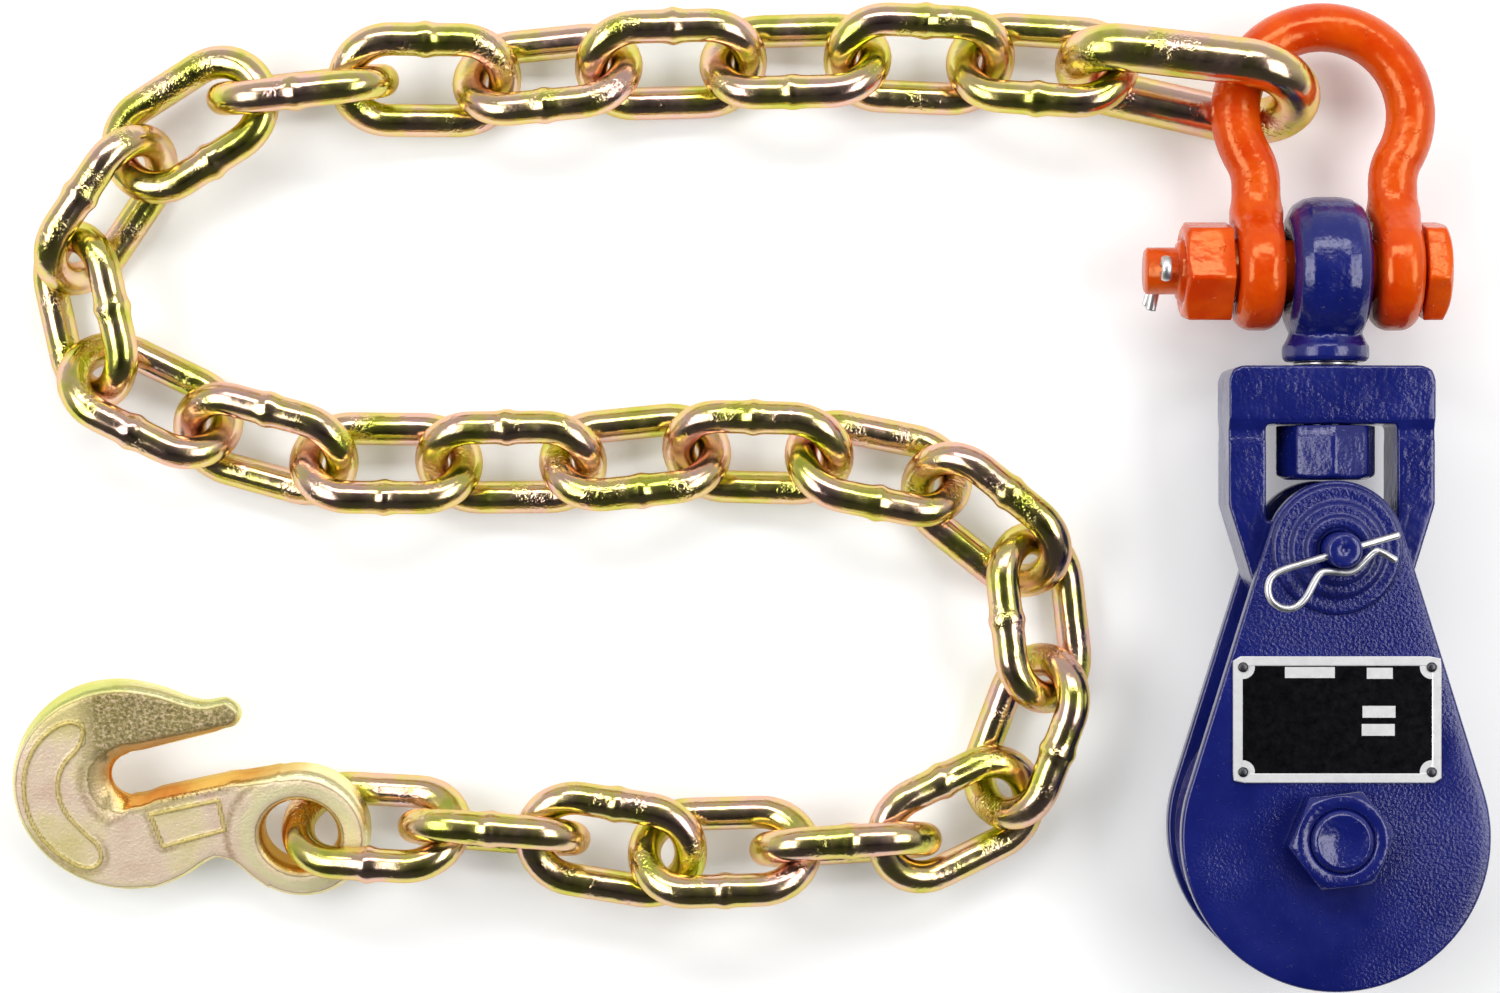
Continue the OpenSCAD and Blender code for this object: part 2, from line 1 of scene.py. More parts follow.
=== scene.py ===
import bmesh
import bpy
import json
import math
import numpy as np
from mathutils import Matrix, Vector


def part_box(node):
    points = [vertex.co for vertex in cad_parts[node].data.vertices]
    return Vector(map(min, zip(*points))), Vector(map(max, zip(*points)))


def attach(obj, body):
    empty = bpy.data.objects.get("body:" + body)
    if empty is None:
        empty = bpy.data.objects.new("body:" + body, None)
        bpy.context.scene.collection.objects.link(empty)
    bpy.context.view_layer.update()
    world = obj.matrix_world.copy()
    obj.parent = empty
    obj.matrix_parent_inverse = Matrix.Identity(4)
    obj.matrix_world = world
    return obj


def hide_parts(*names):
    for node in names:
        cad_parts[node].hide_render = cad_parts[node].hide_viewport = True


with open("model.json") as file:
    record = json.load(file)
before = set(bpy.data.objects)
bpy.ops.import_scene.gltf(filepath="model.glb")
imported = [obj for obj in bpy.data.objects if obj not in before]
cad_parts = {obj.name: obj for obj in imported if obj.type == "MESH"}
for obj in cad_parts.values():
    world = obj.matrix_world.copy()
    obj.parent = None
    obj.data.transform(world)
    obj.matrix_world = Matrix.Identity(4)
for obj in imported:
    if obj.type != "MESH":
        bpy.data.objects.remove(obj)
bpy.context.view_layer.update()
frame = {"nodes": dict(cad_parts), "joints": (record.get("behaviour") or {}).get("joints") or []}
nodes = frame["nodes"]
joints = {joint["name"]: joint for joint in frame["joints"]}
mm = 0.001
print("frame loaded:", len(nodes), "nodes")


def feed(tree, node, settings):
    # gives each setting to the input of that name, as a value or a link, or else to the property
    for key, value in settings.items():
        if key not in node.inputs:
            setattr(node, key, value)
        elif isinstance(value, bpy.types.NodeSocket):
            tree.links.new(value, node.inputs[key])
        else:
            node.inputs[key].default_value = value
    return node


def addNode(tree, kind, **settings):
    # a new node with its settings
    return feed(tree, tree.nodes.new(kind), settings)


def newMaterial(name, metallic, roughness):
    # a material, its node tree, its Principled shader and the place on the piece, in metres
    material = bpy.data.materials.new(name)
    material.use_nodes = True
    tree = material.node_tree
    shader = feed(tree, tree.nodes["Principled BSDF"], {"Metallic": metallic, "Roughness": roughness})
    return material, tree, shader, tree.nodes.new("ShaderNodeTexCoord").outputs["Object"]


def noise(tree, point, scale, detail, roughness=0.55):
    # smooth random values round 0.5
    return addNode(tree, "ShaderNodeTexNoise", Vector=point, Scale=scale, Detail=detail,
                   Roughness=roughness).outputs["Fac"]


def ramp(tree, value, stops):
    # a colour for each value, blended between the stops
    node = addNode(tree, "ShaderNodeValToRGB", Fac=value)
    elements = node.color_ramp.elements
    elements[0].position, elements[0].color = stops[0][0], (*stops[0][1], 1)
    elements[1].position, elements[1].color = stops[-1][0], (*stops[-1][1], 1)
    for place, color in stops[1:-1]:
        elements.new(place).color = (*color, 1)
    return node.outputs["Color"]


def span(tree, value, low, high, fromLow=0.0, fromHigh=1.0):
    # stretches the range from fromLow to fromHigh onto low to high, and holds it at both ends
    ranges = {"From Min": fromLow, "From Max": fromHigh, "To Min": low, "To Max": high}
    return addNode(tree, "ShaderNodeMapRange", Value=value, **ranges).outputs["Result"]


def mixColors(tree, factor, first, second):
    # first where the factor is 0, second where it is 1; each is a colour or a node's output
    node = addNode(tree, "ShaderNodeMix", data_type="RGBA", Factor=factor)
    for socket, value in ((node.inputs[6], first), (node.inputs[7], second)):
        if isinstance(value, tuple):
            socket.default_value = (*value, 1)
        else:
            tree.links.new(value, socket)
    return node.outputs[2]


def bump(tree, shader, heights):
    # reliefs over one another, each as (height, depth in metres, strength)
    below = {}
    for height, distance, strength in heights:
        node = addNode(tree, "ShaderNodeBump", Height=height, Distance=distance, Strength=strength, **below)
        below = {"Normal": node.outputs["Normal"]}
    feed(tree, shader, below)


def attribute(tree, name):
    # a value kept in the mesh's vertices
    return addNode(tree, "ShaderNodeAttribute", attribute_name=name).outputs["Fac"]


def calc(tree, kind, a, b=None):
    # one sum on numbers or on other nodes' outputs
    node = addNode(tree, "ShaderNodeMath", operation=kind)
    for socket, value in zip(node.inputs, (a, b)):
        if isinstance(value, (int, float)):
            socket.default_value = value
        elif value is not None:
            tree.links.new(value, socket)
    return node.outputs[0]


def castPaint(name, skin):
    # thick gloss paint over a cast or forged skin: broad waves, an orange peel that comes and
    # goes over the surface and a few specks, with highlights that take the paint's own warmth
    material, tree, shader, point = newMaterial(name, 0.0, 0.3)
    patch = noise(tree, point, skin["patchScale"], 4, 0.6)
    feed(tree, shader, {
        "Base Color": ramp(tree, patch, [(0.34, skin["deep"]), (0.66, skin["light"])]),
        "Roughness": span(tree, patch, *skin["roughness"], 0.3, 0.7), "Coat Weight": skin["coat"],
        "Coat Roughness": 0.1, "Specular IOR Level": skin["gloss"], "Specular Tint": (*skin["shine"], 1)})
    coarse = span(tree, noise(tree, point, skin["coverScale"], 2), skin["smoothest"], 1.0, 0.44, 0.56)
    peel = calc(tree, "MULTIPLY", noise(tree, point, skin["peelScale"], 2, 0.5), coarse)
    specks = span(tree, noise(tree, point, skin["peelScale"]*0.8, 1), 0.0, 1.0, 0.70, 0.74)
    wave = noise(tree, point, skin["waveScale"], 2)
    bump(tree, shader, [(wave, 0.0012, skin["wave"]), (peel, 0.0006, skin["peel"]), (specks, 0.0003, 0.7)])
    return material


chainSkin = {
    "tones": [(0.34, (0.56, 0.58, 0.09)), (0.45, (0.72, 0.62, 0.20)), (0.55, (0.76, 0.56, 0.34)),
              (0.66, (0.76, 0.50, 0.42))],
    "edgeTint": (1.0, 0.72, 0.55), "roughness": (0.12, 0.24), "toneScale": 75, "smearScale": 240,
    "wornScale": 85, "dentScale": 900, "dent": 0.35, "waveScale": 150, "wave": 0.16,
    "grainScale": 1400, "grain": 0.08}


def chainPlating():
    # yellow plating on drawn bar: metal that drifts from green over straw to rose, with fine
    # grain and with patches of small dents where links have rubbed
    skin = chainSkin
    material, tree, shader, point = newMaterial("chainZinc", 1.0, 0.15)
    drift = noise(tree, point, skin["toneScale"], 3, 0.6)
    smear = noise(tree, point, skin["smearScale"], 4, 0.6)
    feed(tree, shader, {
        "Base Color": ramp(tree, drift, skin["tones"]), "Specular Tint": (*skin["edgeTint"], 1),
        "Roughness": span(tree, smear, *skin["roughness"], 0.3, 0.7)})
    wearAndPaintedShade = span(tree, noise(tree, point, skin["wornScale"], 2), 0.0, 1.0, 0.54, 0.66)
    dents = span(tree, noise(tree, point, skin["dentScale"], 2, 0.5), 0.0, 1.0, 0.42, 0.62)
    dents = calc(tree, "MULTIPLY", dents, wearAndPaintedShade)
    wave = noise(tree, point, skin["waveScale"], 2)
    grain = noise(tree, point, skin["grainScale"], 3, 0.6)
    bump(tree, shader, [(wave, 0.001, skin["wave"]), (dents, 0.0003, skin["dent"]),
                        (grain, 0.0003, skin["grain"])])
    return material


hookSkin = {
    "face": [(0.36, (0.84, 0.71, 0.32)), (0.48, (0.97, 0.81, 0.50)), (0.56, (0.97, 0.77, 0.58)),
             (0.66, (0.88, 0.64, 0.48))],
    # the rim colours are painted reflection on the walls that lean away from the face
    "rim": [(0.36, (0.66, 0.70, 0.22)), (0.6, (0.92, 0.86, 0.50))],
    # painted reflection and shade on the walls of the throat and the eye
    "innerWallShade": [(0.36, (0.60, 0.20, 0.04)), (0.6, (0.82, 0.50, 0.12))],
    "beak": [(0.36, (0.07, 0.05, 0.01)), (0.5, (0.33, 0.26, 0.07)), (0.64, (0.84, 0.64, 0.44))],
    # on the next line: a painted highlight for the top of the ring, then brown painted shade for the bands
    # beside the throat, the ring and the ridges
    "crestHighlight": (0.90, 0.90, 0.46), "paintedShade": (0.34, 0.21, 0.06), "ridge": (0.86, 0.66, 0.20),
    # the first colour on the next line is painted dark shade along the face's edge
    "line": (0.20, 0.15, 0.04), "edgeTint": (0.95, 0.86, 0.5), "metal": (0.25, 0.95),
    "roughness": (0.40, 0.22), "toneScale": 42, "speckScale": 1100, "sandScale": 1300, "sand": 0.6,
    "waveScale": 180, "wave": 0.14, "pits": 0.5}


def hookPlating():
    # the same plating on a forging: sandy rose and straw faces with a painted dark shade line round
    # them and bands of brown painted shade, greenish rims of painted reflection, golden walls of painted
    # reflection and shade in the throat and the eye, a painted highlight along the top of the ring,
    # golden ridges, and a coarse olive facet on the beak
    skin = hookSkin
    material, tree, shader, point = newMaterial("hookZinc", 0.5, 0.35)
    zones = ("wall", "innerWallShade", "beak", "raised", "crestHighlight", "wearAndPaintedShade")
    wall, innerWallShade, beak, raised, crestHighlight, wearAndPaintedShade = (attribute(tree, name) for name in zones)
    drift = noise(tree, point, skin["toneScale"], 4, 0.6)
    speck = noise(tree, point, skin["speckScale"], 4, 0.7)
    grainy = calc(tree, "SUBTRACT", speck, 0.5)

    def frayed(zone, share):
        # the zone plus a share of the specks, so that its edge frays
        return calc(tree, "ADD", zone, calc(tree, "MULTIPLY", grainy, share))

    facet = span(tree, frayed(beak, 0.9), 0.0, 0.85, 0.3, 0.8)
    # painted shade: dark brown bands beside the throat, the ring and the ridges, with frayed edges
    paintedShade = span(tree, frayed(wearAndPaintedShade, 1.8), 0.0, 0.6, 0.35, 1.15)
    # painted shade: a dark line along the edge where the face turns into its walls
    line = ramp(tree, frayed(wall, 0.25), [(0.03, (0, 0, 0)), (0.14, (0.75, 0.75, 0.75)), (0.34, (0, 0, 0))])
    color = ramp(tree, drift, skin["face"])
    # the first layer is a painted highlight along the top of the ring
    layers = [(crestHighlight, skin["crestHighlight"]), (facet, ramp(tree, speck, skin["beak"])), (paintedShade, skin["paintedShade"]),
              # painted reflection on the walls that lean away from the face
              (raised, skin["ridge"]), (wall, ramp(tree, drift, skin["rim"])),
              # painted reflection and shade on the walls of the throat and the eye
              (innerWallShade, ramp(tree, drift, skin["innerWallShade"])), (line, skin["line"])]
    for mask, layer in layers:
        color = mixColors(tree, mask, color, layer)
    feed(tree, shader, {
        "Base Color": color, "Specular Tint": (*skin["edgeTint"], 1),
        "Metallic": span(tree, wall, *skin["metal"]), "Roughness": span(tree, wall, *skin["roughness"])})
    sand = noise(tree, point, skin["sandScale"], 3, 0.65)
    sand = calc(tree, "MULTIPLY", sand, span(tree, wall, 1.0, 0.35))
    pits = calc(tree, "MULTIPLY", speck, beak)
    wave = noise(tree, point, skin["waveScale"], 2)
    bump(tree, shader, [(wave, 0.001, skin["wave"]), (sand, 0.0005, skin["sand"]),
                        (pits, 0.0006, skin["pits"])])
    return material


def plainMetal(name, color, roughness, grainScale=900, grain=0.1):
    # bare or thinly plated steel or bronze, a little uneven in tone and gloss
    material, tree, shader, point = newMaterial(name, 1.0, roughness)
    tone = noise(tree, point, 120, 3)
    dark = tuple(0.8*c for c in color)
    feed(tree, shader, {"Base Color": ramp(tree, tone, [(0.3, dark), (0.7, color)]),
                        "Roughness": span(tree, tone, roughness*0.8, roughness*1.3, 0.3, 0.7)})
    bump(tree, shader, [(noise(tree, point, grainScale, 3), 0.0002, grain)])
    return material


castBlue = {
    "deep": (0.004, 0.008, 0.115), "light": (0.007, 0.013, 0.155), "patchScale": 60,
    "roughness": (0.16, 0.26), "gloss": 0.55, "shine": (0.88, 0.85, 1.0), "coat": 0.35,
    "coverScale": 40, "smoothest": 0.3, "peelScale": 950, "peel": 0.32, "waveScale": 240, "wave": 0.35}
plateBlue = {**castBlue, "coverScale": 14, "smoothest": 0.08, "peelScale": 1200, "peel": 0.55,
             "waveScale": 110, "wave": 0.08}
shackleOrange = {
    "deep": (0.66, 0.040, 0.001), "light": (0.78, 0.090, 0.001), "patchScale": 70,
    "roughness": (0.16, 0.28), "gloss": 0.9, "shine": (1.0, 0.68, 0.28), "coat": 0.04,
    "coverScale": 50, "smoothest": 0.2, "peelScale": 520, "peel": 0.28, "waveScale": 160, "wave": 0.35}
bluePaint = castPaint("bluePaint", castBlue)
platePaint = castPaint("platePaint", plateBlue)
orangePaint = castPaint("orangePaint", shackleOrange)
chainZinc = chainPlating()
hookZinc = hookPlating()
satinSteel = plainMetal("satinSteel", (0.78, 0.78, 0.79), 0.34, 1200, 0.2)
bareSteel = plainMetal("bareSteel", (0.62, 0.61, 0.60), 0.3)
darkSteel = plainMetal("darkSteel", (0.10, 0.10, 0.11), 0.4)
turnedBronze = plainMetal("turnedBronze", (0.62, 0.40, 0.17), 0.3)
print("materials made")


def unit(v):
    # the same directions with length 1
    v = np.asarray(v, float)
    return v/np.linalg.norm(v, axis=-1, keepdims=True)


def fullTurn(count):
    # that many angles, evenly round a circle
    return np.linspace(0, 2*np.pi, count, endpoint=False)


def arc(radius, angle, x=0, y=0):
    # points of a circle round (x, y)
    return np.stack([x + radius*np.cos(angle), y + radius*np.sin(angle)], -1)


def gridFaces(rows, columns, closedRows=False):
    # quads of a grid of vertices whose rows are rings; the last row meets the first when closed
    i = np.arange(rows if closedRows else rows - 1)[:, None]
    j = np.arange(columns)[None, :]
    nextI, nextJ = (i + 1) % rows, (j + 1) % columns
    quads = np.stack(np.broadcast_arrays(i*columns + j, nextI*columns + j,
                                         nextI*columns + nextJ, i*columns + nextJ), -1)
    return quads.reshape(-1, 4)


def makePiece(name, points, faces, material, smooth=True):
    # one mesh object, in metres, with its place in its vertices and its faces outwards
    mesh = bpy.data.meshes.new(name)
    mesh.from_pydata(np.asarray(points).reshape(-1, 3).tolist(), [], [list(map(int, f)) for f in faces])
    mesh.validate()
    piece = bpy.data.objects.new(name, mesh)
    bpy.context.scene.collection.objects.link(piece)
    mesh.materials.append(material)
    mesh.polygons.foreach_set("use_smooth", [smooth]*len(mesh.polygons))
    faceOutwards(mesh)
    return piece


def faceOutwards(mesh):
    # points that coincide become one, and every face looks outwards
    work = bmesh.new()
    work.from_mesh(mesh)
    bmesh.ops.remove_doubles(work, verts=work.verts, dist=1e-7)
    bmesh.ops.recalc_face_normals(work, faces=work.faces)
    work.to_mesh(mesh)
    work.free()


def joinShapes(shapes):
    # one list of points and faces from several
    points, faces, count = [], [], 0
    for shapePoints, shapeFaces in shapes:
        shapePoints = np.asarray(shapePoints).reshape(-1, 3)
        points.append(shapePoints)
        faces += [[int(k) + count for k in face] for face in shapeFaces]
        count += len(shapePoints)
    return np.concatenate(points), faces


def chaikin(profile, rounds, closed=False):
    # cuts every corner of a polyline, so that it runs smooth; its ends stay
    p = np.asarray(profile, float)
    for _ in range(rounds):
        nextP = np.roll(p, -1, 0) if closed else p[1:]
        thisP = p if closed else p[:-1]
        cut = np.stack([0.75*thisP + 0.25*nextP, 0.25*thisP + 0.75*nextP], 1).reshape(-1, p.shape[1])
        p = cut if closed else np.concatenate([p[:1], cut, p[-1:]])
    return p


def bentPath(corners, radius, steps=6):
    # polyline with an arc-like blend at each corner: a quadratic curve between two points
    # that lie one radius before and after the corner
    p = np.asarray(corners, float)
    out = [p[:1]]
    for before, here, after in zip(p[:-2], p[1:-1], p[2:]):
        a = here + unit(before - here)*min(radius, np.linalg.norm(before - here)*0.49)
        b = here + unit(after - here)*min(radius, np.linalg.norm(after - here)*0.49)
        t = np.linspace(0, 1, steps)[:, None]
        out.append((1 - t)**2*a + 2*t*(1 - t)*here + t**2*b)
    out.append(p[-1:])
    return np.concatenate(out)


def tube(path, radius, up=(0, 0, 1), wide=1.0):
    # a circle of the given radius carried along a path, wide times as broad towards up, with
    # round ends
    p = np.asarray(path, float)
    around = 16
    share = np.array([0.35, 0.7, 0.9, 1.0])
    capLength = 0.6*radius
    cap = np.sqrt(1 - share**2)*radius
    start, stop = unit(p[0] - p[1]), unit(p[-1] - p[-2])
    r = np.concatenate([cap[::-1], np.ones(len(p))*radius, cap])
    p = np.concatenate([p[0] + start*capLength*share[::-1, None], p,
                        p[-1] + stop*capLength*share[:, None]])
    along = unit(np.gradient(p, axis=0))
    side = unit(np.cross(along, np.asarray(up, float)))
    top = np.cross(side, along)
    angle = fullTurn(around)
    ring = np.cos(angle)[None, :, None]*side[:, None] + wide*np.sin(angle)[None, :, None]*top[:, None]
    return p[:, None] + ring*r[:, None, None], gridFaces(len(p), around)


def lathe(profile, around=96):
    # a profile of (radius, height) in millimetres turned about Z; a radius of 0 closes it
    profile = np.asarray(profile, float)*mm
    angle = fullTurn(around)
    points = np.stack([profile[:, :1]*np.cos(angle), profile[:, :1]*np.sin(angle),
                       np.broadcast_to(profile[:, 1:], (len(profile), around))], -1)
    return points, gridFaces(len(profile), around)


def moved(shape, offset, matrix=np.eye(3)):
    # a shape turned by the matrix, then shifted by so many millimetres
    points, faces = shape
    return np.asarray(points).reshape(-1, 3) @ matrix.T + np.asarray(offset, float)*mm, faces


def turn(axis, degrees):
    # rotation matrix about X, Y or Z
    c, s = math.cos(math.radians(degrees)), math.sin(math.radians(degrees))
    i, j = {"x": (1, 2), "y": (2, 0), "z": (0, 1)}[axis]
    m = np.eye(3)
    m[i, i], m[i, j], m[j, i], m[j, j] = c, -s, s, c
    return m


def nutBlank(acrossFlats, height, chamfer, boreRadius=0.0, sides=6):
    # flats with a cone turned on their top corners, standing on z = 0: for each angle the wall
    # runs up to where the cone cuts it, so the chamfer shows the usual arcs
    around, coneSlope, cornerRound, footEdge, boreEdge = 144, 0.55, 0.12, 0.25, 0.9
    angle = fullTurn(around)
    fold = angle % (2*np.pi/sides) - np.pi/sides
    cornerRadius = acrossFlats/2/math.cos(np.pi/sides)
    wall = np.minimum(acrossFlats/2/np.cos(fold), cornerRadius - cornerRound)
    topRadius = acrossFlats/2 - chamfer*0.35
    cutHeight = height - (wall - topRadius)*coneSlope
    rows = [(boreRadius, 0), (wall - 0.3, 0), (wall, footEdge)]
    rows += [(wall, cutHeight*share + footEdge*(1 - share)) for share in (0.35, 0.7, 0.96)]
    rows += [(wall - 0.15, cutHeight + 0.06),
             (topRadius + 0.3*(wall - topRadius), height - 0.3*(wall - topRadius)*coneSlope),
             (topRadius, height - 0.03), (topRadius - 0.4, height)]
    if boreRadius:
        rows += [(boreRadius + boreEdge, height), (boreRadius, height - boreEdge), (boreRadius, 0)]
    else:
        rows += [(0, height)]
    points = np.stack([np.stack([r*np.cos(angle), r*np.sin(angle), z*np.ones(around)], -1) for r, z in rows])
    return points*mm, gridFaces(len(rows), around)


def evaluated(piece):
    # applies the live modifiers of a piece
    graph = bpy.context.evaluated_depsgraph_get()
    mesh = bpy.data.meshes.new_from_object(piece.evaluated_get(graph))
    piece.modifiers.clear()
    old = piece.data
    piece.data = mesh
    bpy.data.meshes.remove(old)


def pointsOf(piece):
    # a piece's vertices, in metres
    flat = np.zeros(len(piece.data.vertices)*3)
    piece.data.vertices.foreach_get("co", flat)
    return flat.reshape(-1, 3)


def castFrom(name, nodeName, material, voxel, rounding):
    # a cast or forged skin over a CAD solid: a copy is remade from voxels, and its corners are
    # rounded by smoothing
    solid = nodes[nodeName]
    piece = makePiece(name, pointsOf(solid), [list(f.vertices) for f in solid.data.polygons], material)
    remesh = piece.modifiers.new("skin", "REMESH")
    remesh.mode = "VOXEL"
    remesh.voxel_size = voxel*mm
    smooth = piece.modifiers.new("rounding", "SMOOTH")
    smooth.factor = 0.5
    smooth.iterations = rounding
    evaluated(piece)
    piece.data.polygons.foreach_set("use_smooth", [True]*len(piece.data.polygons))
    return piece


def smoothMin(a, b, k):
    # the lower of two distances, blended where they differ by less than k
    h = np.maximum(k - np.abs(a - b), 0)/k
    return np.minimum(a, b) - h*h*k/4


def insideBoth(a, b, r):
    # the higher of two distances, with an arc of radius r where the two surfaces meet
    return np.minimum(np.maximum(a, b) + r, 0) + np.hypot(np.maximum(a + r, 0), np.maximum(b + r, 0)) - r


def outlineDistance(points, corners):
    # distance to the nearest edge of a closed outline, negative inside, where a ray crosses it oddly
    corners = np.asarray(corners, float)
    nearest = np.full(len(points), np.inf)
    inside = np.zeros(len(points), bool)
    for a, b in zip(corners, np.roll(corners, -1, 0)):
        edge = b - a
        offset = points - a
        share = np.clip((offset @ edge)/(edge @ edge), 0, 1)[:, None]
        nearest = np.minimum(nearest, ((offset - share*edge)**2).sum(1))
        if a[1] != b[1]:
            crosses = (a[1] > points[:, 1]) != (b[1] > points[:, 1])
            inside ^= crosses & (offset[:, 0] < offset[:, 1]*edge[0]/edge[1])
    return np.where(inside, -1, 1)*np.sqrt(nearest)


def bell(gap, width):
    # 1 where the gap is 0, and fading over about one width
    return np.exp(-(gap/width)**2)


def rise(value, start, length):
    # 0 below the start, 1 from one length above it, straight in between
    return np.clip((value - start)/length, 0, 1)


def slopeOf(field, points):
    # change of a distance field per millimetre along X, Y and Z
    return np.stack([field(points + nudge) - field(points - nudge) for nudge in np.eye(3)*0.1], -1)/0.2


def settle(piece, field, rounds=6, longest=1.2):
    # moves the vertices onto the surface where the field is zero, by Newton's steps along its slope
    points = pointsOf(piece)/mm
    for _ in range(rounds):
        slope = slopeOf(field, points)
        step = field(points)[:, None]*slope/np.maximum((slope**2).sum(1), 0.1)[:, None]
        length = np.linalg.norm(step, axis=1, keepdims=True)
        points = points - step*np.minimum(1, longest/np.maximum(length, 1e-9))
    piece.data.vertices.foreach_set("co", (points*mm).ravel())
    piece.data.update()
    return points


def finish(piece, body, replaced):
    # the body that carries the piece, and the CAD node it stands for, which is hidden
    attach(piece, body)
    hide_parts(replaced)


plate = {
    "lowRadius": 39.48, "highRadius": 17.6, "headPinY": 73.5, "thickness": 5.0, "edge": 0.9, "flat": 6,
    "middleY": 30, "frontFrom": 35, "backFrom": 8,
    "bossSteps": [(0, -0.6), (16.8, -0.6), (16.75, 0.3), (16.1, 1.3), (15.0, 1.5), (13.2, 1.2),
                  (12.3, 1.6), (11.7, 2.7), (10.9, 3.0), (9.4, 2.9), (8.8, 3.3), (8.5, 4.1),
                  (7.7, 4.5), (6.6, 4.4), (5.9, 3.9), (5.6, 3.2), (4.7, 2.7), (4.6, 1.0), (0, 1.0)]}


def plateOutline(inset, count=200):
    # two circles and their shared tangents: the angle runs round, and each stretch of it
    # belongs to the circle whose support is larger
    r, s, h = plate["lowRadius"] - inset, plate["highRadius"] - inset, plate["headPinY"]
    lean = math.asin((plate["lowRadius"] - plate["highRadius"])/h)
    low = np.linspace(np.pi - lean, 2*np.pi + lean, count*2//3)
    high = np.linspace(lean, np.pi - lean, count//3)
    return np.concatenate([arc(r, low), arc(s, high, 0, h)])


def sidePlate(name, z, outwards):
    # rings of the outline: flat, round edge, side, round edge, flat, closed at both centres, with
    # the turned boss on its outer face, which looks up when outwards is 1 and down when it is -1
    e, t = plate["edge"], plate["thickness"]
    bend = np.radians([0, 22, 45, 68, 90])
    rings = [(plate["flat"], 0.0)] + [(e*(1 - math.sin(a)), e*(1 - math.cos(a))) for a in bend]
    rings += [(e*(1 - math.cos(a)), t - e*(1 - math.sin(a))) for a in bend] + [(plate["flat"], t)]
    outlines = [(plateOutline(inset), height) for inset, height in rings]
    points = [np.concatenate([outline, np.full((len(outline), 1), height)], 1)
              for outline, height in outlines]
    count = len(points[0])
    centre = np.array([0, plate["middleY"], 0.0])
    points = [np.repeat([centre], count, 0)] + points + [np.repeat([centre + [0, 0, t]], count, 0)]
    body = (np.stack(points)*mm, gridFaces(len(points), count))
    boss = moved(lathe(chaikin(plate["bossSteps"], 2)), (0, plate["headPinY"], t))
    points, faces = joinShapes([body, boss])
    points[:, 2] = z*mm + (points[:, 2] if outwards > 0 else t*mm - points[:, 2])
    return makePiece(name, points, faces, platePaint)


finish(sidePlate("frontSidePlate", plate["frontFrom"], 1), "block", "front_side_plate")
finish(sidePlate("backSidePlate", plate["backFrom"], -1), "block", "back_side_plate")
print("side plates made")

centrePin = {"flats": 23.4, "turn": 7, "radius": 8.0, "headHeight": 8, "headChamfer": 1.2, "nutFrom": 40.0,
             "nutHeight": 8.5, "nutChamfer": 1.4, "end": 49.5}


def centreBolt():
    # a hex head on the underside and a round shank with a chamfered end
    r, end, headHeight = centrePin["radius"], centrePin["end"], centrePin["headHeight"]
    head = nutBlank(centrePin["flats"], headHeight, centrePin["headChamfer"])
    head = moved(head, (0, 0, headHeight), turn("x", 180) @ turn("z", centrePin["turn"]))
    start = headHeight - 1
    shank = lathe([(0, start), (r, start), (r, end - 1.3), (r - 0.5, end - 0.7), (r - 1.3, end),
                   (r - 1.7, end), (r - 2.2, end - 0.35), (0, end - 0.3)])
    return makePiece("centreBolt", *joinShapes([head, shank]), bluePaint)


def centreNut():
    # the same hexagon, bored, in front
    pin = centrePin
    nut = nutBlank(pin["flats"], pin["nutHeight"], pin["nutChamfer"], pin["radius"] + 0.05)
    nut = moved(nut, (0, 0, pin["nutFrom"]), turn("z", pin["turn"]))
    return makePiece("centreNut", *nut, bluePaint)


finish(centreBolt(), "block", "centre_pin")
finish(centreNut(), "block", "centre_pin_nut")

sheaveShape = {"radius": 38.1, "rim": 16, "hub": 9.6, "web": 4.5, "bush": 11.0, "groove": 5.05,
               "grooveDepth": 3.2, "mouth": 6.4, "middleZ": 24}


def sheave():
    # turned wheel: hub, web, rim and a round rope groove whose walls open out
    s = sheaveShape
    centre = s["radius"] - s["grooveDepth"]
    bottom = np.radians(np.linspace(90, 270, 25))
    groove = [(centre + s["groove"]*math.cos(a), s["groove"]*math.sin(a)) for a in bottom]
    half = [(s["bush"], -s["hub"]), (16, -s["hub"]), (17, -s["web"] - 0.8), (18.5, -s["web"]),
            (24.5, -s["web"]), (26, -s["web"] - 1), (27.2, 0.6 - s["rim"]/2), (28.2, -s["rim"]/2),
            (s["radius"] - 0.8, -s["rim"]/2), (s["radius"], 0.8 - s["rim"]/2), (s["radius"], -s["mouth"])]
    profile = half + groove[::-1] + [(r, -z) for r, z in half[::-1]]
    profile.append(profile[0])
    wheel = moved(lathe(profile, 128), (0, 0, s["middleZ"]))
    return makePiece("sheaveWheel", *wheel, bluePaint)


finish(sheave(), "sheave", "sheave")
for nodeName in ("sheave_bushing", "thrust_washers"):
    nodes[nodeName].data.materials[0] = turnedBronze

headPin = {"radius": 4.5, "tip": 52.0, "headRadius": 7.6, "headHeight": 3.2}


def headPinShape():
    # a low round head and a plain shank, turned about its axis
    r, tip, headR, headH = headPin["radius"], headPin["tip"], headPin["headRadius"], headPin["headHeight"]
    profile = [(0, 0.35), (4, 0.35), (5.2, 0), (headR - 0.7, 0), (headR, 0.7), (headR, headH - 0.6),
               (headR - 0.6, headH), (r, headH), (r, tip - 1), (r - 0.3, tip - 0.35), (r - 1.0, tip),
               (1.5, tip), (0.9, tip - 0.3), (0, tip - 0.7)]
    pin = moved(lathe(profile, 64), (0, plate["headPinY"], 0))
    return makePiece("headPinBolt", *pin, bluePaint)


finish(headPinShape(), "head_pin", "head_pin")

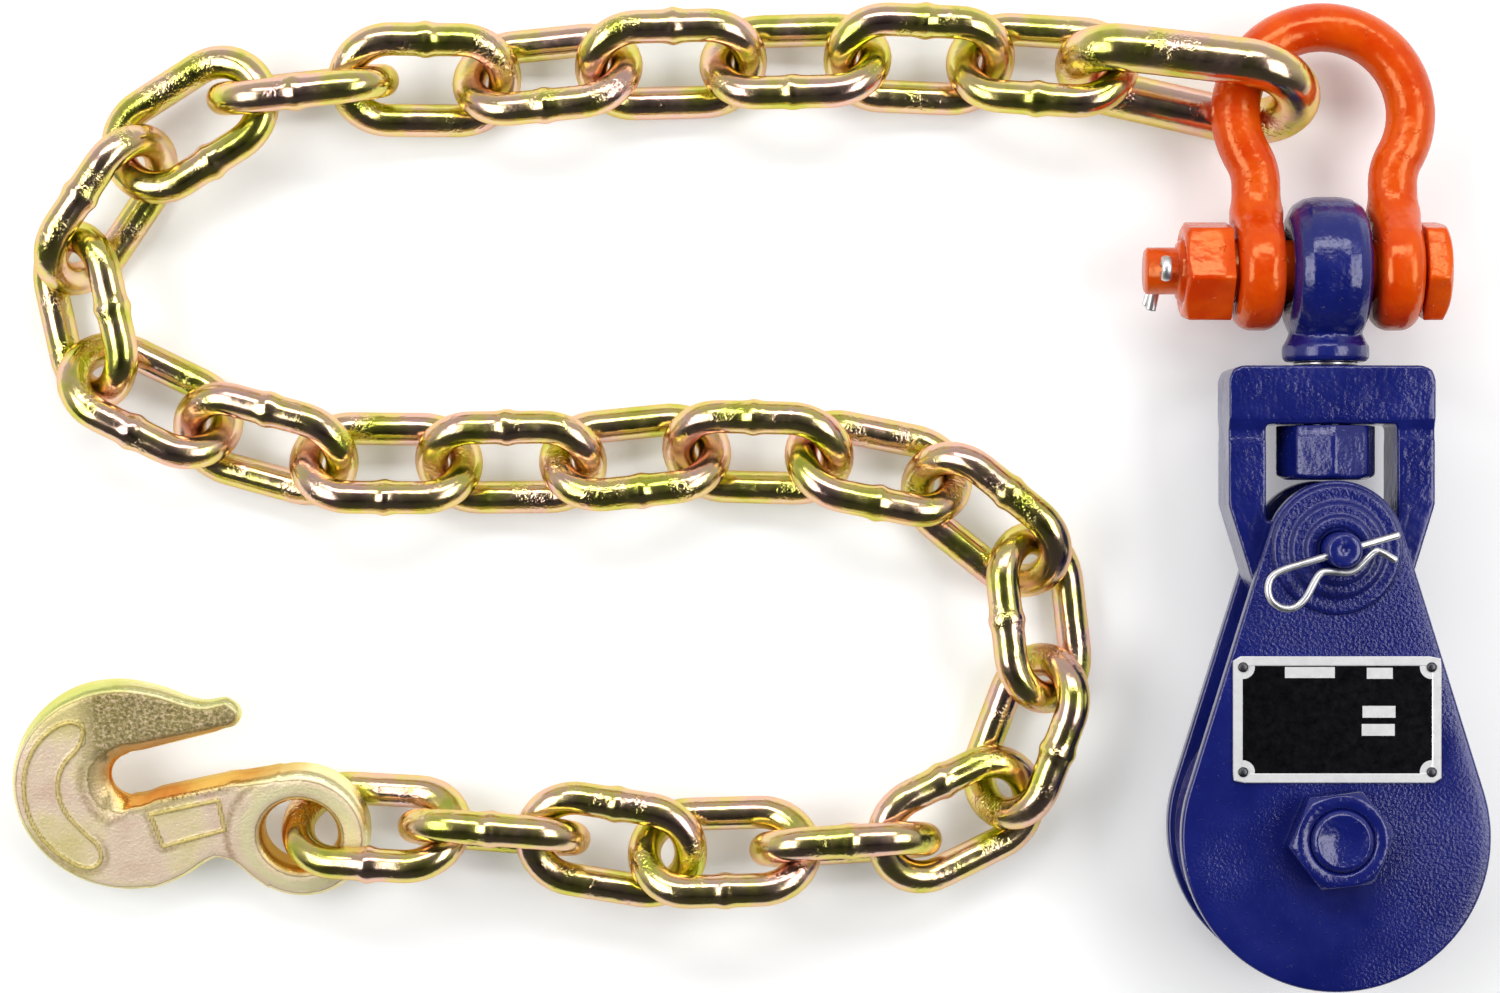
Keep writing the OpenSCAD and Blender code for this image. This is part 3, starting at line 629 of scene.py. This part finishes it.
hairpinWire = {
    "radius": 0.93, "height": 48.7, "corner": 2.2,
    "route": [(13.8, 77.3), (-15.4, 68.5), (-18.2, 66.8), (-19.1, 63.8), (-18.3, 60.8), (-15.8, 58.8),
              (-12.6, 58.6), (-9.6, 60.8), (-6.2, 67.4), (-4.6, 68.2), (2.2, 67.6), (7.9, 73.3),
              (9.2, 73.3), (13.1, 71.0)]}


def hairpin():
    # a round wire along the route, bent at each of its corners
    route = np.array([(x, y, hairpinWire["height"]) for x, y in hairpinWire["route"]])
    path = bentPath(route, hairpinWire["corner"])
    return makePiece("hairpinWire", *tube(path*mm, hairpinWire["radius"]*mm), satinSteel)


finish(hairpin(), "head_pin", "hairpin")
print("pins made")

label = {
    "width": 53.0, "height": 32.2, "centreY": 30.2, "low": 40.0, "high": 41.0, "corner": 1.2, "rim": 2.4,
    "pitchX": 24, "pitchY": 13.35, "bareRadius": 3.0,
    "metal": [(0.3, (0.78, 0.78, 0.78)), (0.7, (0.88, 0.88, 0.88))],
    "ink": [(0.3, (0.002, 0.002, 0.003)), (0.75, (0.007, 0.007, 0.008))],
    "boxes": [(-7.0, 42.2, 12.7, 2.8), (10.8, 42.0, 6.6, 2.8), (10.6, 32.2, 8.4, 3.0),
              (10.4, 27.6, 8.4, 3.0)]}


def namePlateMaterial():
    # black field inside a bare metal border, with metal corners round the rivets and four
    # bare boxes, all drawn from the distance to simple shapes
    material, tree, shader, point = newMaterial("labelMetal", 0.0, 0.35)
    x, y, _ = addNode(tree, "ShaderNodeSeparateXYZ", Vector=point).outputs

    def beyond(value, centre, half):
        # the distance to the centre, less a half width
        gap = calc(tree, "ABSOLUTE", calc(tree, "SUBTRACT", value, centre*mm))
        return calc(tree, "SUBTRACT", gap, half*mm)

    def boxMask(cx, cy, w, h):
        # 1 inside an upright box, 0 outside
        farther = calc(tree, "MAXIMUM", beyond(x, cx, w/2), beyond(y, cy, h/2))
        return calc(tree, "LESS_THAN", farther, 0.0)

    field = boxMask(0, label["centreY"], label["width"] - 2*label["rim"], label["height"] - 2*label["rim"])
    ax, ay = beyond(x, 0, label["pitchX"]), beyond(y, label["centreY"], label["pitchY"])
    squares = calc(tree, "ADD", calc(tree, "MULTIPLY", ax, ax), calc(tree, "MULTIPLY", ay, ay))
    bare = calc(tree, "LESS_THAN", calc(tree, "SQRT", squares), label["bareRadius"]*mm)
    for box in label["boxes"]:
        bare = calc(tree, "MAXIMUM", bare, boxMask(*box))
    black = calc(tree, "MULTIPLY", field, calc(tree, "SUBTRACT", 1.0, bare))
    scratch = noise(tree, point, 500, 4, 0.7)
    metal, ink = ramp(tree, scratch, label["metal"]), ramp(tree, scratch, label["ink"])
    feed(tree, shader, {
        "Base Color": mixColors(tree, black, metal, ink), "Metallic": span(tree, black, 0.25, 0.0),
        "Roughness": span(tree, scratch, 0.14, 0.26, 0.3, 0.7), "Specular IOR Level": 0.12})
    bump(tree, shader, [(black, 0.0001, -0.6), (scratch, 0.0002, 0.05)])
    return material


def namePlate():
    # a thin plate with rounded corners and a rounded edge: rings of a rounded rectangle
    around = 96
    w, h, c = label["width"]/2, label["height"]/2, label["corner"]
    angle = fullTurn(around) + 0.01
    dx, dy = np.cos(angle), np.sin(angle)

    def ring(inset, z):
        # rays from the middle out to the rectangle, pulled in at its corners
        a, b = w - inset - c, h - inset - c
        scale = np.minimum((a + c)/np.maximum(abs(dx), 1e-9), (b + c)/np.maximum(abs(dy), 1e-9))
        x, y = dx*scale, dy*scale
        cx, cy = np.clip(x, -a, a), np.clip(y, -b, b)
        gap = np.hypot(x - cx, y - cy)
        pull = np.where(gap > c, c/np.maximum(gap, 1e-9), 1)
        return np.stack([cx + (x - cx)*pull, label["centreY"] + cy + (y - cy)*pull, np.full(around, z)], -1)

    low, high = label["low"], label["high"]
    middle = np.array([[0, label["centreY"], 0]])
    rim = label["rim"]
    sunk = high - 0.18
    rings = [np.repeat(middle + [0, 0, low], around, 0), ring(0, low), ring(0, high - 0.2), ring(0.2, high),
             ring(rim - 0.25, high), ring(rim, sunk), np.repeat(middle + [0, 0, sunk], around, 0)]
    faces = gridFaces(len(rings), around)
    return makePiece("namePlate", np.stack(rings)*mm, faces, namePlateMaterial(), smooth=False)


finish(namePlate(), "block", "name_plate")


rivet = {"shank": 0.65, "depth": 3, "head": 1.3, "top": 0.55}


def rivetHeads():
    # a thin shank under a low domed head, once at each corner of the name plate
    r, seat = rivet["head"], label["high"] - label["low"]
    profile = [(0, -rivet["depth"]), (rivet["shank"], -rivet["depth"]), (rivet["shank"], seat), (r, seat),
               (r - 0.05, seat + 0.25), (r - 0.5, seat + 0.5), (0, seat + rivet["top"])]
    head = lathe(profile, 32)
    places = [(x, label["centreY"] + y) for x in (-label["pitchX"], label["pitchX"])
              for y in (-label["pitchY"], label["pitchY"])]
    heads = [moved(head, (x, y, label["low"])) for x, y in places]
    return makePiece("namePlateRivets", *joinShapes(heads), darkSteel)


finish(rivetHeads(), "block", "name_plate_rivets")
print("name plate made")

castYoke = castFrom("castYoke", "yoke", bluePaint, voxel=0.5, rounding=9)
finish(castYoke, "yoke", "yoke")
forgedEye = castFrom("forgedEye", "swivel_eye", bluePaint, voxel=0.4, rounding=10)
finish(forgedEye, "swivel", "swivel_eye")

swivel = {"axisZ": 24, "bore": 6.6, "nutTopY": 105.3, "nutFlats": 24, "nutHeight": 14, "nutChamfer": 4.2,
          "nutSides": 8, "ringY": 120.85, "ringRadius": 8.25, "ringHeight": 1.0}


def swivelNut():
    # an eight-sided nut inside the yoke's window, chamfered towards the block
    s = swivel
    nut = nutBlank(s["nutFlats"], s["nutHeight"], s["nutChamfer"], s["bore"], s["nutSides"])
    nut = moved(nut, (0, s["nutTopY"], s["axisZ"]), turn("x", 90))
    return makePiece("swivelNut", *nut, bluePaint)


def thrustRing():
    # a bare turned ring with broken edges, between the eye's collar and the yoke
    r, high, bore = swivel["ringRadius"], swivel["ringHeight"], swivel["bore"]
    profile = [(bore, 0), (r - 0.15, 0), (r, 0.15), (r, high - 0.15), (r - 0.15, high), (bore, high),
               (bore, 0)]
    ring = moved(lathe(profile, 64), (0, swivel["ringY"], swivel["axisZ"]), turn("x", -90))
    return makePiece("thrustRing", *ring, bareSteel)


finish(swivelNut(), "swivel", "swivel_nut")
finish(thrustRing(), "swivel", "swivel_washer")
print("yoke and swivel made")

bow = {
    "axisY": 145.6, "axisZ": 24.0, "tilt": 5, "wire": 12.67, "radius": 22.85, "centreY": 41.5, "endAngle": 30,
    "backRadius": 14.84, "backX": 32.64, "backY": 22.65, "legX": 17.8, "earRadius": 15.5, "earHalf": 6.2,
    "earRound": 4.8, "blend": 6.0, "hole": 8.1, "edge": 0.8, "spreadFrom": 12, "spread": 0.3}


def bowField(points):
    # a round bar along one big arc, two arcs that turn back and two straight legs, which run
    # smoothly into thick round ears with a bolt hole
    b = bow
    local = (points - [0, b["axisY"], b["axisZ"]]) @ turn("x", -b["tilt"])
    x, y, z = np.abs(local[:, 0]), local[:, 1], local[:, 2]
    end = math.radians(b["endAngle"])
    onBig = math.cos(end)*(y - b["centreY"]) + math.sin(end)*x > 0
    bigArc = np.hypot(np.hypot(x, y - b["centreY"]) - b["radius"], z)
    backArc = np.hypot(np.hypot(x - b["backX"], y - b["backY"]) - b["backRadius"], z)
    leg = np.hypot(np.hypot(x - b["legX"], z), np.minimum(y, 0))
    bar = np.where(onBig, bigArc, np.where(y > b["backY"], backArc, leg)) - b["wire"]/2
    faces = np.abs(x - b["legX"]) - b["earHalf"]
    ear = insideBoth(np.hypot(y, z) - b["earRadius"], faces, b["earRound"])
    solid = smoothMin(bar, ear, b["blend"])
    solid = insideBoth(solid, faces - b["spread"]*np.maximum(y - b["spreadFrom"], 0), b["edge"])
    return insideBoth(solid, b["hole"] - np.hypot(y, z), b["edge"])


forgedBow = castFrom("forgedBow", "shackle_bow", orangePaint, voxel=0.45, rounding=4)
settle(forgedBow, bowField)
finish(forgedBow, "shackle", "shackle_bow")

shackleBolt = {
    "radius": 8.0, "end": 6.1, "headFrom": 24.55, "headLength": 6.4, "headChamfer": 2.2, "nutFrom": -25.05,
    "nutLength": 12.5, "nutChamfer": 2.6, "tip": -47.05, "flats": 24, "turn": 11}


def alongBolt(shape, x, flip=False):
    # lays a shape made along +Z onto the bolt's axis, from x towards +X, or towards -X when flipped
    matrix = turn("x", shackleBolt["turn"]) @ turn("y", -90 if flip else 90)
    return moved(shape, (x, bow["axisY"], bow["axisZ"]), matrix)


def boltShape():
    # a hex head and a shank that steps down beyond the nut
    b = shackleBolt
    head = alongBolt(nutBlank(b["flats"], b["headLength"], b["headChamfer"]), b["headFrom"])
    shoulder = b["nutFrom"] - b["nutLength"] - 1.2
    profile = [(0, b["tip"]), (b["end"] - 0.7, b["tip"]), (b["end"], b["tip"] + 0.7),
               (b["end"], shoulder - 0.4), (b["radius"] - 0.8, shoulder), (b["radius"], shoulder + 0.8),
               (b["radius"], b["headFrom"] + 0.5), (0, b["headFrom"] + 0.5)]
    shank = alongBolt(lathe(profile, 64), 0)
    return makePiece("shackleBolt", *joinShapes([head, shank]), orangePaint)


def shackleNut():
    # the nut on the bolt's far end, chamfered outwards
    b = shackleBolt
    nut = nutBlank(b["flats"], b["nutLength"], b["nutChamfer"], b["radius"] + 0.05)
    return makePiece("shackleNut", *alongBolt(nut, b["nutFrom"], flip=True), orangePaint)


finish(boltShape(), "shackle_bolt", "shackle_bolt")
finish(shackleNut(), "shackle_bolt", "shackle_nut")

cotter = {"radius": 0.7, "wide": 1.9, "bend": 1.4, "fromTip": 4.5}


def splitPin():
    # one half-round wire: a leg, an eye in front of the bolt, and the other leg, both bent down
    front = shackleBolt["end"]
    back = -front
    corners = [(-1.8, -9.6, back - 1.8), (-0.2, -1.6, back - 1.6), (0, -0.85, back), (0, -0.85, front + 0.4),
               (0, -2.5, front + 1.9), (0, -2.7, front + 3.9), (0, 0, front + 5.3), (0, 2.7, front + 3.9),
               (0, 2.5, front + 1.9), (0, 0.85, front + 0.4), (0, 0.85, back - 2), (-0.4, -1, back - 3.6),
               (-2.7, -8.4, back - 3.6)]
    place = np.array([shackleBolt["tip"] + cotter["fromTip"], bow["axisY"], bow["axisZ"]])
    path = bentPath(np.array(corners) + place, cotter["bend"])
    shape = tube(path*mm, cotter["radius"]*mm, up=(1, 0, 0), wide=cotter["wide"])
    return makePiece("splitPin", *shape, satinSteel)


finish(splitPin(), "shackle_bolt", "shackle_cotter")
print("shackle made")

chain = {"wire": 8.7, "insideLength": 33.4, "insideWidth": 15.0, "bead": 0.75, "beadWidth": 1.7}
pear = {"wire": 12.2, "wide": 14.5, "narrow": 11.4, "length": 57.5}
linkRadius = (chain["insideWidth"] + chain["wire"])/2
linkDistance = chain["insideLength"] - chain["insideWidth"]
linkCount = sum(name.startswith("chain_link_") for name in nodes)


def loopPath(rNear, rFar, distance, count):
    # closed planar loop: two round ends joined by their outer tangents, far end at +x
    lean = math.asin((rNear - rFar)/distance)
    far = np.linspace(lean - np.pi/2, np.pi/2 - lean, count//2)
    near = np.linspace(np.pi/2 - lean, 3*np.pi/2 + lean, count//2)
    share = np.linspace(0, 1, 24)[1:-1, None]
    farArc, nearArc = arc(rFar, far, distance/2), arc(rNear, near, -distance/2)
    upper = farArc[-1]*(1 - share) + nearArc[0]*share
    lower = nearArc[-1]*(1 - share) + farArc[0]*share
    return np.concatenate([farArc, upper, nearArc, lower])


def linkShape(centre, along, across, path, radius, bead=0.0, beadSide=1, seed=0):
    # a round bar round the loop. The weld is a low uneven collar in the middle of one leg:
    # a bell of the distance along the leg, times a wave round the bar
    random = np.random.default_rng(seed)
    around = 24
    normal = np.cross(along, across)
    flat = np.concatenate([path, np.zeros((len(path), 1))], 1)
    tangent = unit(np.roll(flat, -1, 0) - np.roll(flat, 1, 0))
    outward = np.stack([tangent[:, 1], -tangent[:, 0]], -1)
    angle = fullTurn(around)
    r = np.full((len(path), around), radius)
    if bead:
        onLeg = (path[:, 1]*beadSide > path[:, 1].max()*0.9)[:, None]
        wobble = 0.75 + 0.25*np.sin(3*angle + random.uniform(0, 6)) * np.cos(angle + random.uniform(0, 6))
        offset = path[:, :1] - 0.25*np.sin(2*angle + random.uniform(0, 6))[None, :]
        r = r + onLeg*bead*bell(offset, chain["beadWidth"])*wobble[None, :]
    inPlane = path[:, None, :] + outward[:, None, :]*(r*np.cos(angle))[..., None]
    height = r*np.sin(angle)
    points = centre + inPlane[..., :1]*along + inPlane[..., 1:]*across + height[..., None]*normal
    return points*mm, gridFaces(len(path), around, closedRows=True)


def jointPlace(name):
    # a joint's point in millimetres and its axis
    joint = joints[name]
    return np.array(joint["pos_m"])/mm, unit(joint["axis"])


def boxCentre(nodeName):
    # middle of a CAD node's box, in millimetres
    low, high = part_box(nodeName)
    return (np.array(low) + np.array(high))/2/mm


def chainLink(number):
    # a link hangs at the hinge of its neighbour: it points from its own middle to that hinge, and
    # the hinge's axis lies in its plane. Its weld is on the side that looks up
    nodeName = f"chain_link_{number:02d}"
    nextJoint = "hook_hinge" if number == linkCount else f"link_{number + 1:02d}_hinge"
    apex, across = jointPlace(nextJoint)
    along = unit(apex - boxCentre(nodeName))
    across = unit(across - along*(across @ along))
    if np.cross(along, across)[2] < 0:
        across = -across
    centre = apex - along*(linkRadius + linkDistance/2)
    path = loopPath(linkRadius, linkRadius, linkDistance, 48)
    beadSide = 1 if across[2] > 0 else -1
    shape = linkShape(centre, along, across, path, chain["wire"]/2, chain["bead"], beadSide, number)
    return makePiece(f"chainLink{number:02d}", *shape, chainZinc)


def pearLink():
    # the same with one narrow end, which holds the first link: it points away from its wide end
    apex, across = jointPlace("link_01_hinge")
    corners = pointsOf(nodes["pear_link"])/mm
    along = unit(apex - corners[np.argmax(np.linalg.norm(corners - apex, axis=1))])
    across = unit(across - along*(across @ along))
    distance = pear["length"] - pear["wide"] - pear["narrow"]
    path = loopPath(pear["wide"], pear["narrow"], distance, 64)
    centre = apex - along*(pear["narrow"] + distance/2)
    return makePiece("pearLink", *linkShape(centre, along, across, path, pear["wire"]/2), chainZinc)


for number in range(1, linkCount + 1):
    nodeName = f"chain_link_{number:02d}"
    finish(chainLink(number), nodeName, nodeName)
finish(pearLink(), "pear_link", "pear_link")
print("chain made:", linkCount, "links")

hook = {
    "tilt": 20, "half": 5.1, "round": 2.3, "draft": 0.1, "eyeX": 1.0, "eyeY": -1.5, "eyeHeight": 12.4,
    "back": (-45.5, 13, 29.3), "tip": (-17.6, 33.4, 3.6), "throat": (-42.8, 15.8, 6.1), "saddle": 3.7,
    "ringRadius": 13.95, "ringHalfWidth": 4.25, "ringHalf": 5.2,
    "beak": [(-48, 21.8), (-43.8, 21.7), (-35, 24.4), (-22.4, 27.9), (-16.8, 29.9), (-18, 36.9),
             (-24.5, 36.9), (-29.5, 37.6), (-35, 39), (-48, 38)],
    "shank": [(-46, 9.4), (-20, 15.3), (-5, 17.7), (0, 10), (-9, -15.6), (-14, -12), (-18.3, -8),
              (-22.7, -6.7), (-27.7, -7.5), (-32.7, -10.4), (-39.5, -14.6), (-48, -5)],
    "slot": [(-43.5, 22), (-30, 25.6), (-10, 31), (14, 37), (14, 22), (-5, 19.2), (-20, 15.3), (-44, 9.8)],
    "facetX": -55.0, "facetY": 20.0, "facetSlope": 0.06,
    "crescent": [(-57, 33.5), (-63, 31), (-69, 24), (-71.5, 14), (-70, 4), (-65, -4), (-57, -9.5),
                 (-52.5, -8), (-52, -3), (-57, 2), (-61.5, 8), (-62.5, 15), (-60.5, 21), (-55.5, 26),
                 (-54, 31)],
    "panel": [(-38.6, 6.6), (-20.6, 10.8), (-19.4, 2.2), (-35.8, -2.6)],
    "ridge": 0.45, "ridgeWidth": 0.6}
hookEye = jointPlace("hook_hinge")[0] + np.array([hook["eyeX"], hook["eyeY"], 0])
hookEye[2] = hook["eyeHeight"]
crescentLine = chaikin(hook["crescent"], 2, closed=True)
panelLine = np.array(hook["panel"])
ridgeLines = [crescentLine, panelLine]


def circleDistance(plan, circle):
    # distance to a circle (x, y, radius), negative inside
    return np.hypot(plan[:, 0] - circle[0], plan[:, 1] - circle[1]) - circle[2]


def hookLocal(points):
    # places from the middle of the eye, with the hook's lean taken out
    return (points - hookEye) @ turn("x", hook["tilt"])


def throatDistance(plan):
    # distance to the throat, negative inside: its round end blended with its slot
    return smoothMin(circleDistance(plan, hook["throat"]), outlineDistance(plan, hook["slot"]), 1.5)


def throatFlare(plan):
    # how far the throat opens out: least along the shank, more under the beak, most at its closed end
    besideX, besideY = plan[:, 0] - hook["throat"][0], plan[:, 1] - hook["throat"][1]
    above = 0.96*besideY - 0.276*besideX
    flare = np.clip(0.6 + above/8, 0.25, 1.6)
    return np.maximum(flare, np.clip(-besideX/4, 0, 1.8))


def hookField(points):
    # the outline, drawn in a little towards both faces and rounded; less the throat, which opens
    # out towards the faces like a saddle; with a round ring at the eye and a beak that thins out
    h = hook
    local = hookLocal(points)
    plan, z = local[:, :2], np.abs(local[:, 2])
    outline = circleDistance(plan, h["back"])
    for part in (outlineDistance(plan, h["beak"]), circleDistance(plan, h["tip"]),
                 outlineDistance(plan, h["shank"])):
        outline = smoothMin(outline, part, 3)
    onBeak = rise(plan[:, 1], h["facetY"], 1.5)*rise(plan[:, 0], h["facetX"], 0.8)
    thinner = onBeak*(0.25 + h["facetSlope"]*np.maximum(plan[:, 0] - h["facetX"], 0))
    solid = insideBoth(outline + h["draft"]*z, z - h["half"] + thinner, h["round"])
    saddle = h["saddle"]*np.minimum(z/h["half"], 1)**1.4
    solid = insideBoth(solid, throatFlare(plan)*saddle - throatDistance(plan), 0.9)
    radius = np.hypot(plan[:, 0], plan[:, 1])
    solid = insideBoth(solid, h["ringRadius"] + 1.6 - radius, 1.6)
    ring = insideBoth(np.abs(radius - h["ringRadius"]) - h["ringHalfWidth"], z - h["ringHalf"], 3.5)
    solid = smoothMin(solid, ring, 1.2)
    onFace = z > h["half"] - 1.2
    for line in ridgeLines:
        gap = outlineDistance(plan[onFace], line)
        solid[onFace] -= h["ridge"]*bell(gap, h["ridgeWidth"])
    return solid


def paintZones(piece, points):
    # where the plating changes colour, each from 0 to 1: walls that lean away from the face, which
    # take painted reflection, walls of the throat and the eye, which take painted reflection and shade,
    # the facet of the beak, the ridges, the top of the ring, which takes a painted highlight, and bands
    # of painted shade, which are bells of the distance to the throat, the ring and the ridges
    h = hook
    local = hookLocal(points)
    plan, x, y = local[:, :2], local[:, 0], local[:, 1]
    lean = slopeOf(hookField, points) @ turn("x", h["tilt"])
    flat = np.abs(lean[:, 2])/np.maximum(np.linalg.norm(lean, axis=1), 1e-6)
    wall = rise(-flat, -0.93, 0.3)
    ringGap = np.hypot(x, y) - h["ringRadius"]
    throatGap = throatDistance(plan) - throatFlare(plan)*h["saddle"]
    onTip = rise(x, h["tip"][0] - 2, 1.5)*(y > h["tip"][1] - 5)
    # where the walls of the throat and the eye take painted reflection and shade
    innerWallShade = wall*np.maximum(rise(-throatGap, -1.6, 1.6)*(1 - onTip), rise(-ringGap, 0.8, 1.2))
    beak = rise(y, h["facetY"], 2)*rise(x, h["facetX"] - 6, 12)
    crescentGap, panelGap = outlineDistance(plan, crescentLine), outlineDistance(plan, panelLine)
    # painted shade: bands just outside the throat's bevel, outside the ring where it meets the shank, and
    # beside the crescent and the panel
    wearAndPaintedShade = bell(throatGap - 0.6, 1.8)*(1 - beak)
    for band in (bell(ringGap - 5, 1.3)*(x < 0), bell(crescentGap - 1.5, 1.2)*rise(-y, -8, 12),
                 bell(panelGap - 1.3, 1.1)*rise(-x, 26, 8)):
        wearAndPaintedShade = np.maximum(wearAndPaintedShade, band)
    ridgeGap = np.minimum(np.abs(crescentGap), np.abs(panelGap))
    raised = bell(ridgeGap, h["ridgeWidth"])*(np.abs(local[:, 2]) > h["half"] - 1)
    # the top of the ring takes a painted highlight
    zones = {"wall": wall*(1 - raised), "innerWallShade": innerWallShade, "beak": beak*(1 - wall), "raised": raised,
             "crestHighlight": 0.6*bell(ringGap, 2.2)*(1 - wall), "wearAndPaintedShade": wearAndPaintedShade*(1 - raised)}
    for name, value in zones.items():
        layer = piece.data.attributes.new(name, "FLOAT", "POINT")
        layer.data.foreach_set("value", value.astype(np.float32))


forgedHook = castFrom("forgedHook", "grab_hook", hookZinc, voxel=0.4, rounding=3)
paintZones(forgedHook, settle(forgedHook, hookField, 7))
finish(forgedHook, "grab_hook", "grab_hook")
print("hook made")


paper = {"half": 2.5, "glow": 0.22, "whiteFrom": 0.5, "whiteAt": 1.1}


def floorMaterial():
    # matt white. Seen directly or in the metal it is brighter, so the ground reads as paper, and
    # it grows to plain white far from the object
    material, tree, shader, point = newMaterial("paperFloor", 0.0, 0.9)
    tone = noise(tree, point, 6, 2)
    color = ramp(tree, tone, [(0.3, (0.88, 0.88, 0.88)), (0.7, (0.9, 0.9, 0.9))])
    rays = tree.nodes.new("ShaderNodeLightPath").outputs
    reach = addNode(tree, "ShaderNodeVectorMath", operation="LENGTH", Vector=point)
    glow = span(tree, reach.outputs["Value"], paper["glow"], 1.0, paper["whiteFrom"], paper["whiteAt"])
    direct = calc(tree, "MULTIPLY", rays["Is Camera Ray"], glow)
    mirrored = calc(tree, "MULTIPLY", rays["Is Glossy Ray"], paper["glow"])
    feed(tree, shader, {"Base Color": color, "Emission Color": (1, 1, 1, 1),
                        "Emission Strength": calc(tree, "MAXIMUM", direct, mirrored)})
    return material


def makeFloor():
    # a flat square under the object
    size = paper["half"]
    points = np.array([(-size, -size, 0), (size, -size, 0), (size, size, 0), (-size, size, 0)])
    piece = makePiece("floor", points, [[0, 1, 2, 3]], floorMaterial(), smooth=False)


makeFloor()

view = {"place": (-0.1495, 0.087, 0.85), "lens": 76.3, "sensor": 36.0, "near": 0.01}
camera = bpy.data.cameras.new("camera")
camera.lens = view["lens"]
camera.sensor_width = view["sensor"]
camera.clip_start = view["near"]
cameraObject = bpy.data.objects.new("camera", camera)
cameraObject.location = view["place"]
bpy.context.scene.collection.objects.link(cameraObject)
bpy.context.scene.camera = cameraObject

lamps = [
    {"name": "leftBox", "at": (-0.75, 0.1, 0.7), "size": (0.7, 0.44), "power": 4.4},
    {"name": "rightBox", "at": (0.48, 0.1, 0.72), "size": (0.7, 0.38), "power": 3.8},
    {"name": "topBox", "at": (-0.15, 0.68, 0.74), "size": (0.95, 0.22), "power": 3.8}]
lampTarget = (-0.15, 0.09, 0.0)


def addLamp(lamp):
    # a soft box that looks at the middle of the object
    light = bpy.data.lights.new(lamp["name"], "AREA")
    light.shape = "RECTANGLE"
    light.size, light.size_y = lamp["size"]
    light.energy = lamp["power"]
    piece = bpy.data.objects.new(lamp["name"], light)
    piece.location = lamp["at"]
    aim = np.array(lamp["at"]) - np.array(lampTarget)
    piece.rotation_euler = Vector(aim).to_track_quat("Z", "Y").to_euler()
    bpy.context.scene.collection.objects.link(piece)


for lamp in lamps:
    addLamp(lamp)

sky = {
    "strength": 0.7, "south": (-0.5, 0.15), "southLevel": 0.1,
    "bands": [(0.0, (1, 1, 1)), (0.3, (0.8, 0.8, 0.8)), (0.72, (0.6, 0.6, 0.6)),
              (0.86, (0.16, 0.16, 0.16)), (1.0, (0.1, 0.1, 0.1))]}


def makeSky():
    # dark overhead and to the south, pale towards the other three horizons, and plain white to
    # the camera past the floor's edge
    world = bpy.data.worlds.new("studio")
    world.use_nodes = True
    bpy.context.scene.world = world
    tree = world.node_tree
    point = tree.nodes.new("ShaderNodeTexCoord").outputs["Generated"]
    _, y, z = addNode(tree, "ShaderNodeSeparateXYZ", Vector=point).outputs
    side = span(tree, y, sky["southLevel"], 1.0, *sky["south"])
    level = calc(tree, "MULTIPLY", ramp(tree, z, sky["bands"]), side)
    dim = feed(tree, tree.nodes["Background"], {"Color": level, "Strength": sky["strength"]})
    white = addNode(tree, "ShaderNodeBackground", Color=(1, 1, 1, 1), Strength=1.0)
    rays = tree.nodes.new("ShaderNodeLightPath").outputs
    chooser = addNode(tree, "ShaderNodeMixShader", Fac=rays["Is Camera Ray"])
    for socket, light in zip(chooser.inputs[1:], (dim, white)):
        tree.links.new(light.outputs[0], socket)
    feed(tree, tree.nodes["World Output"], {"Surface": chooser.outputs[0]})


makeSky()
bpy.context.scene.view_settings.view_transform = "Standard"
print("studio made")
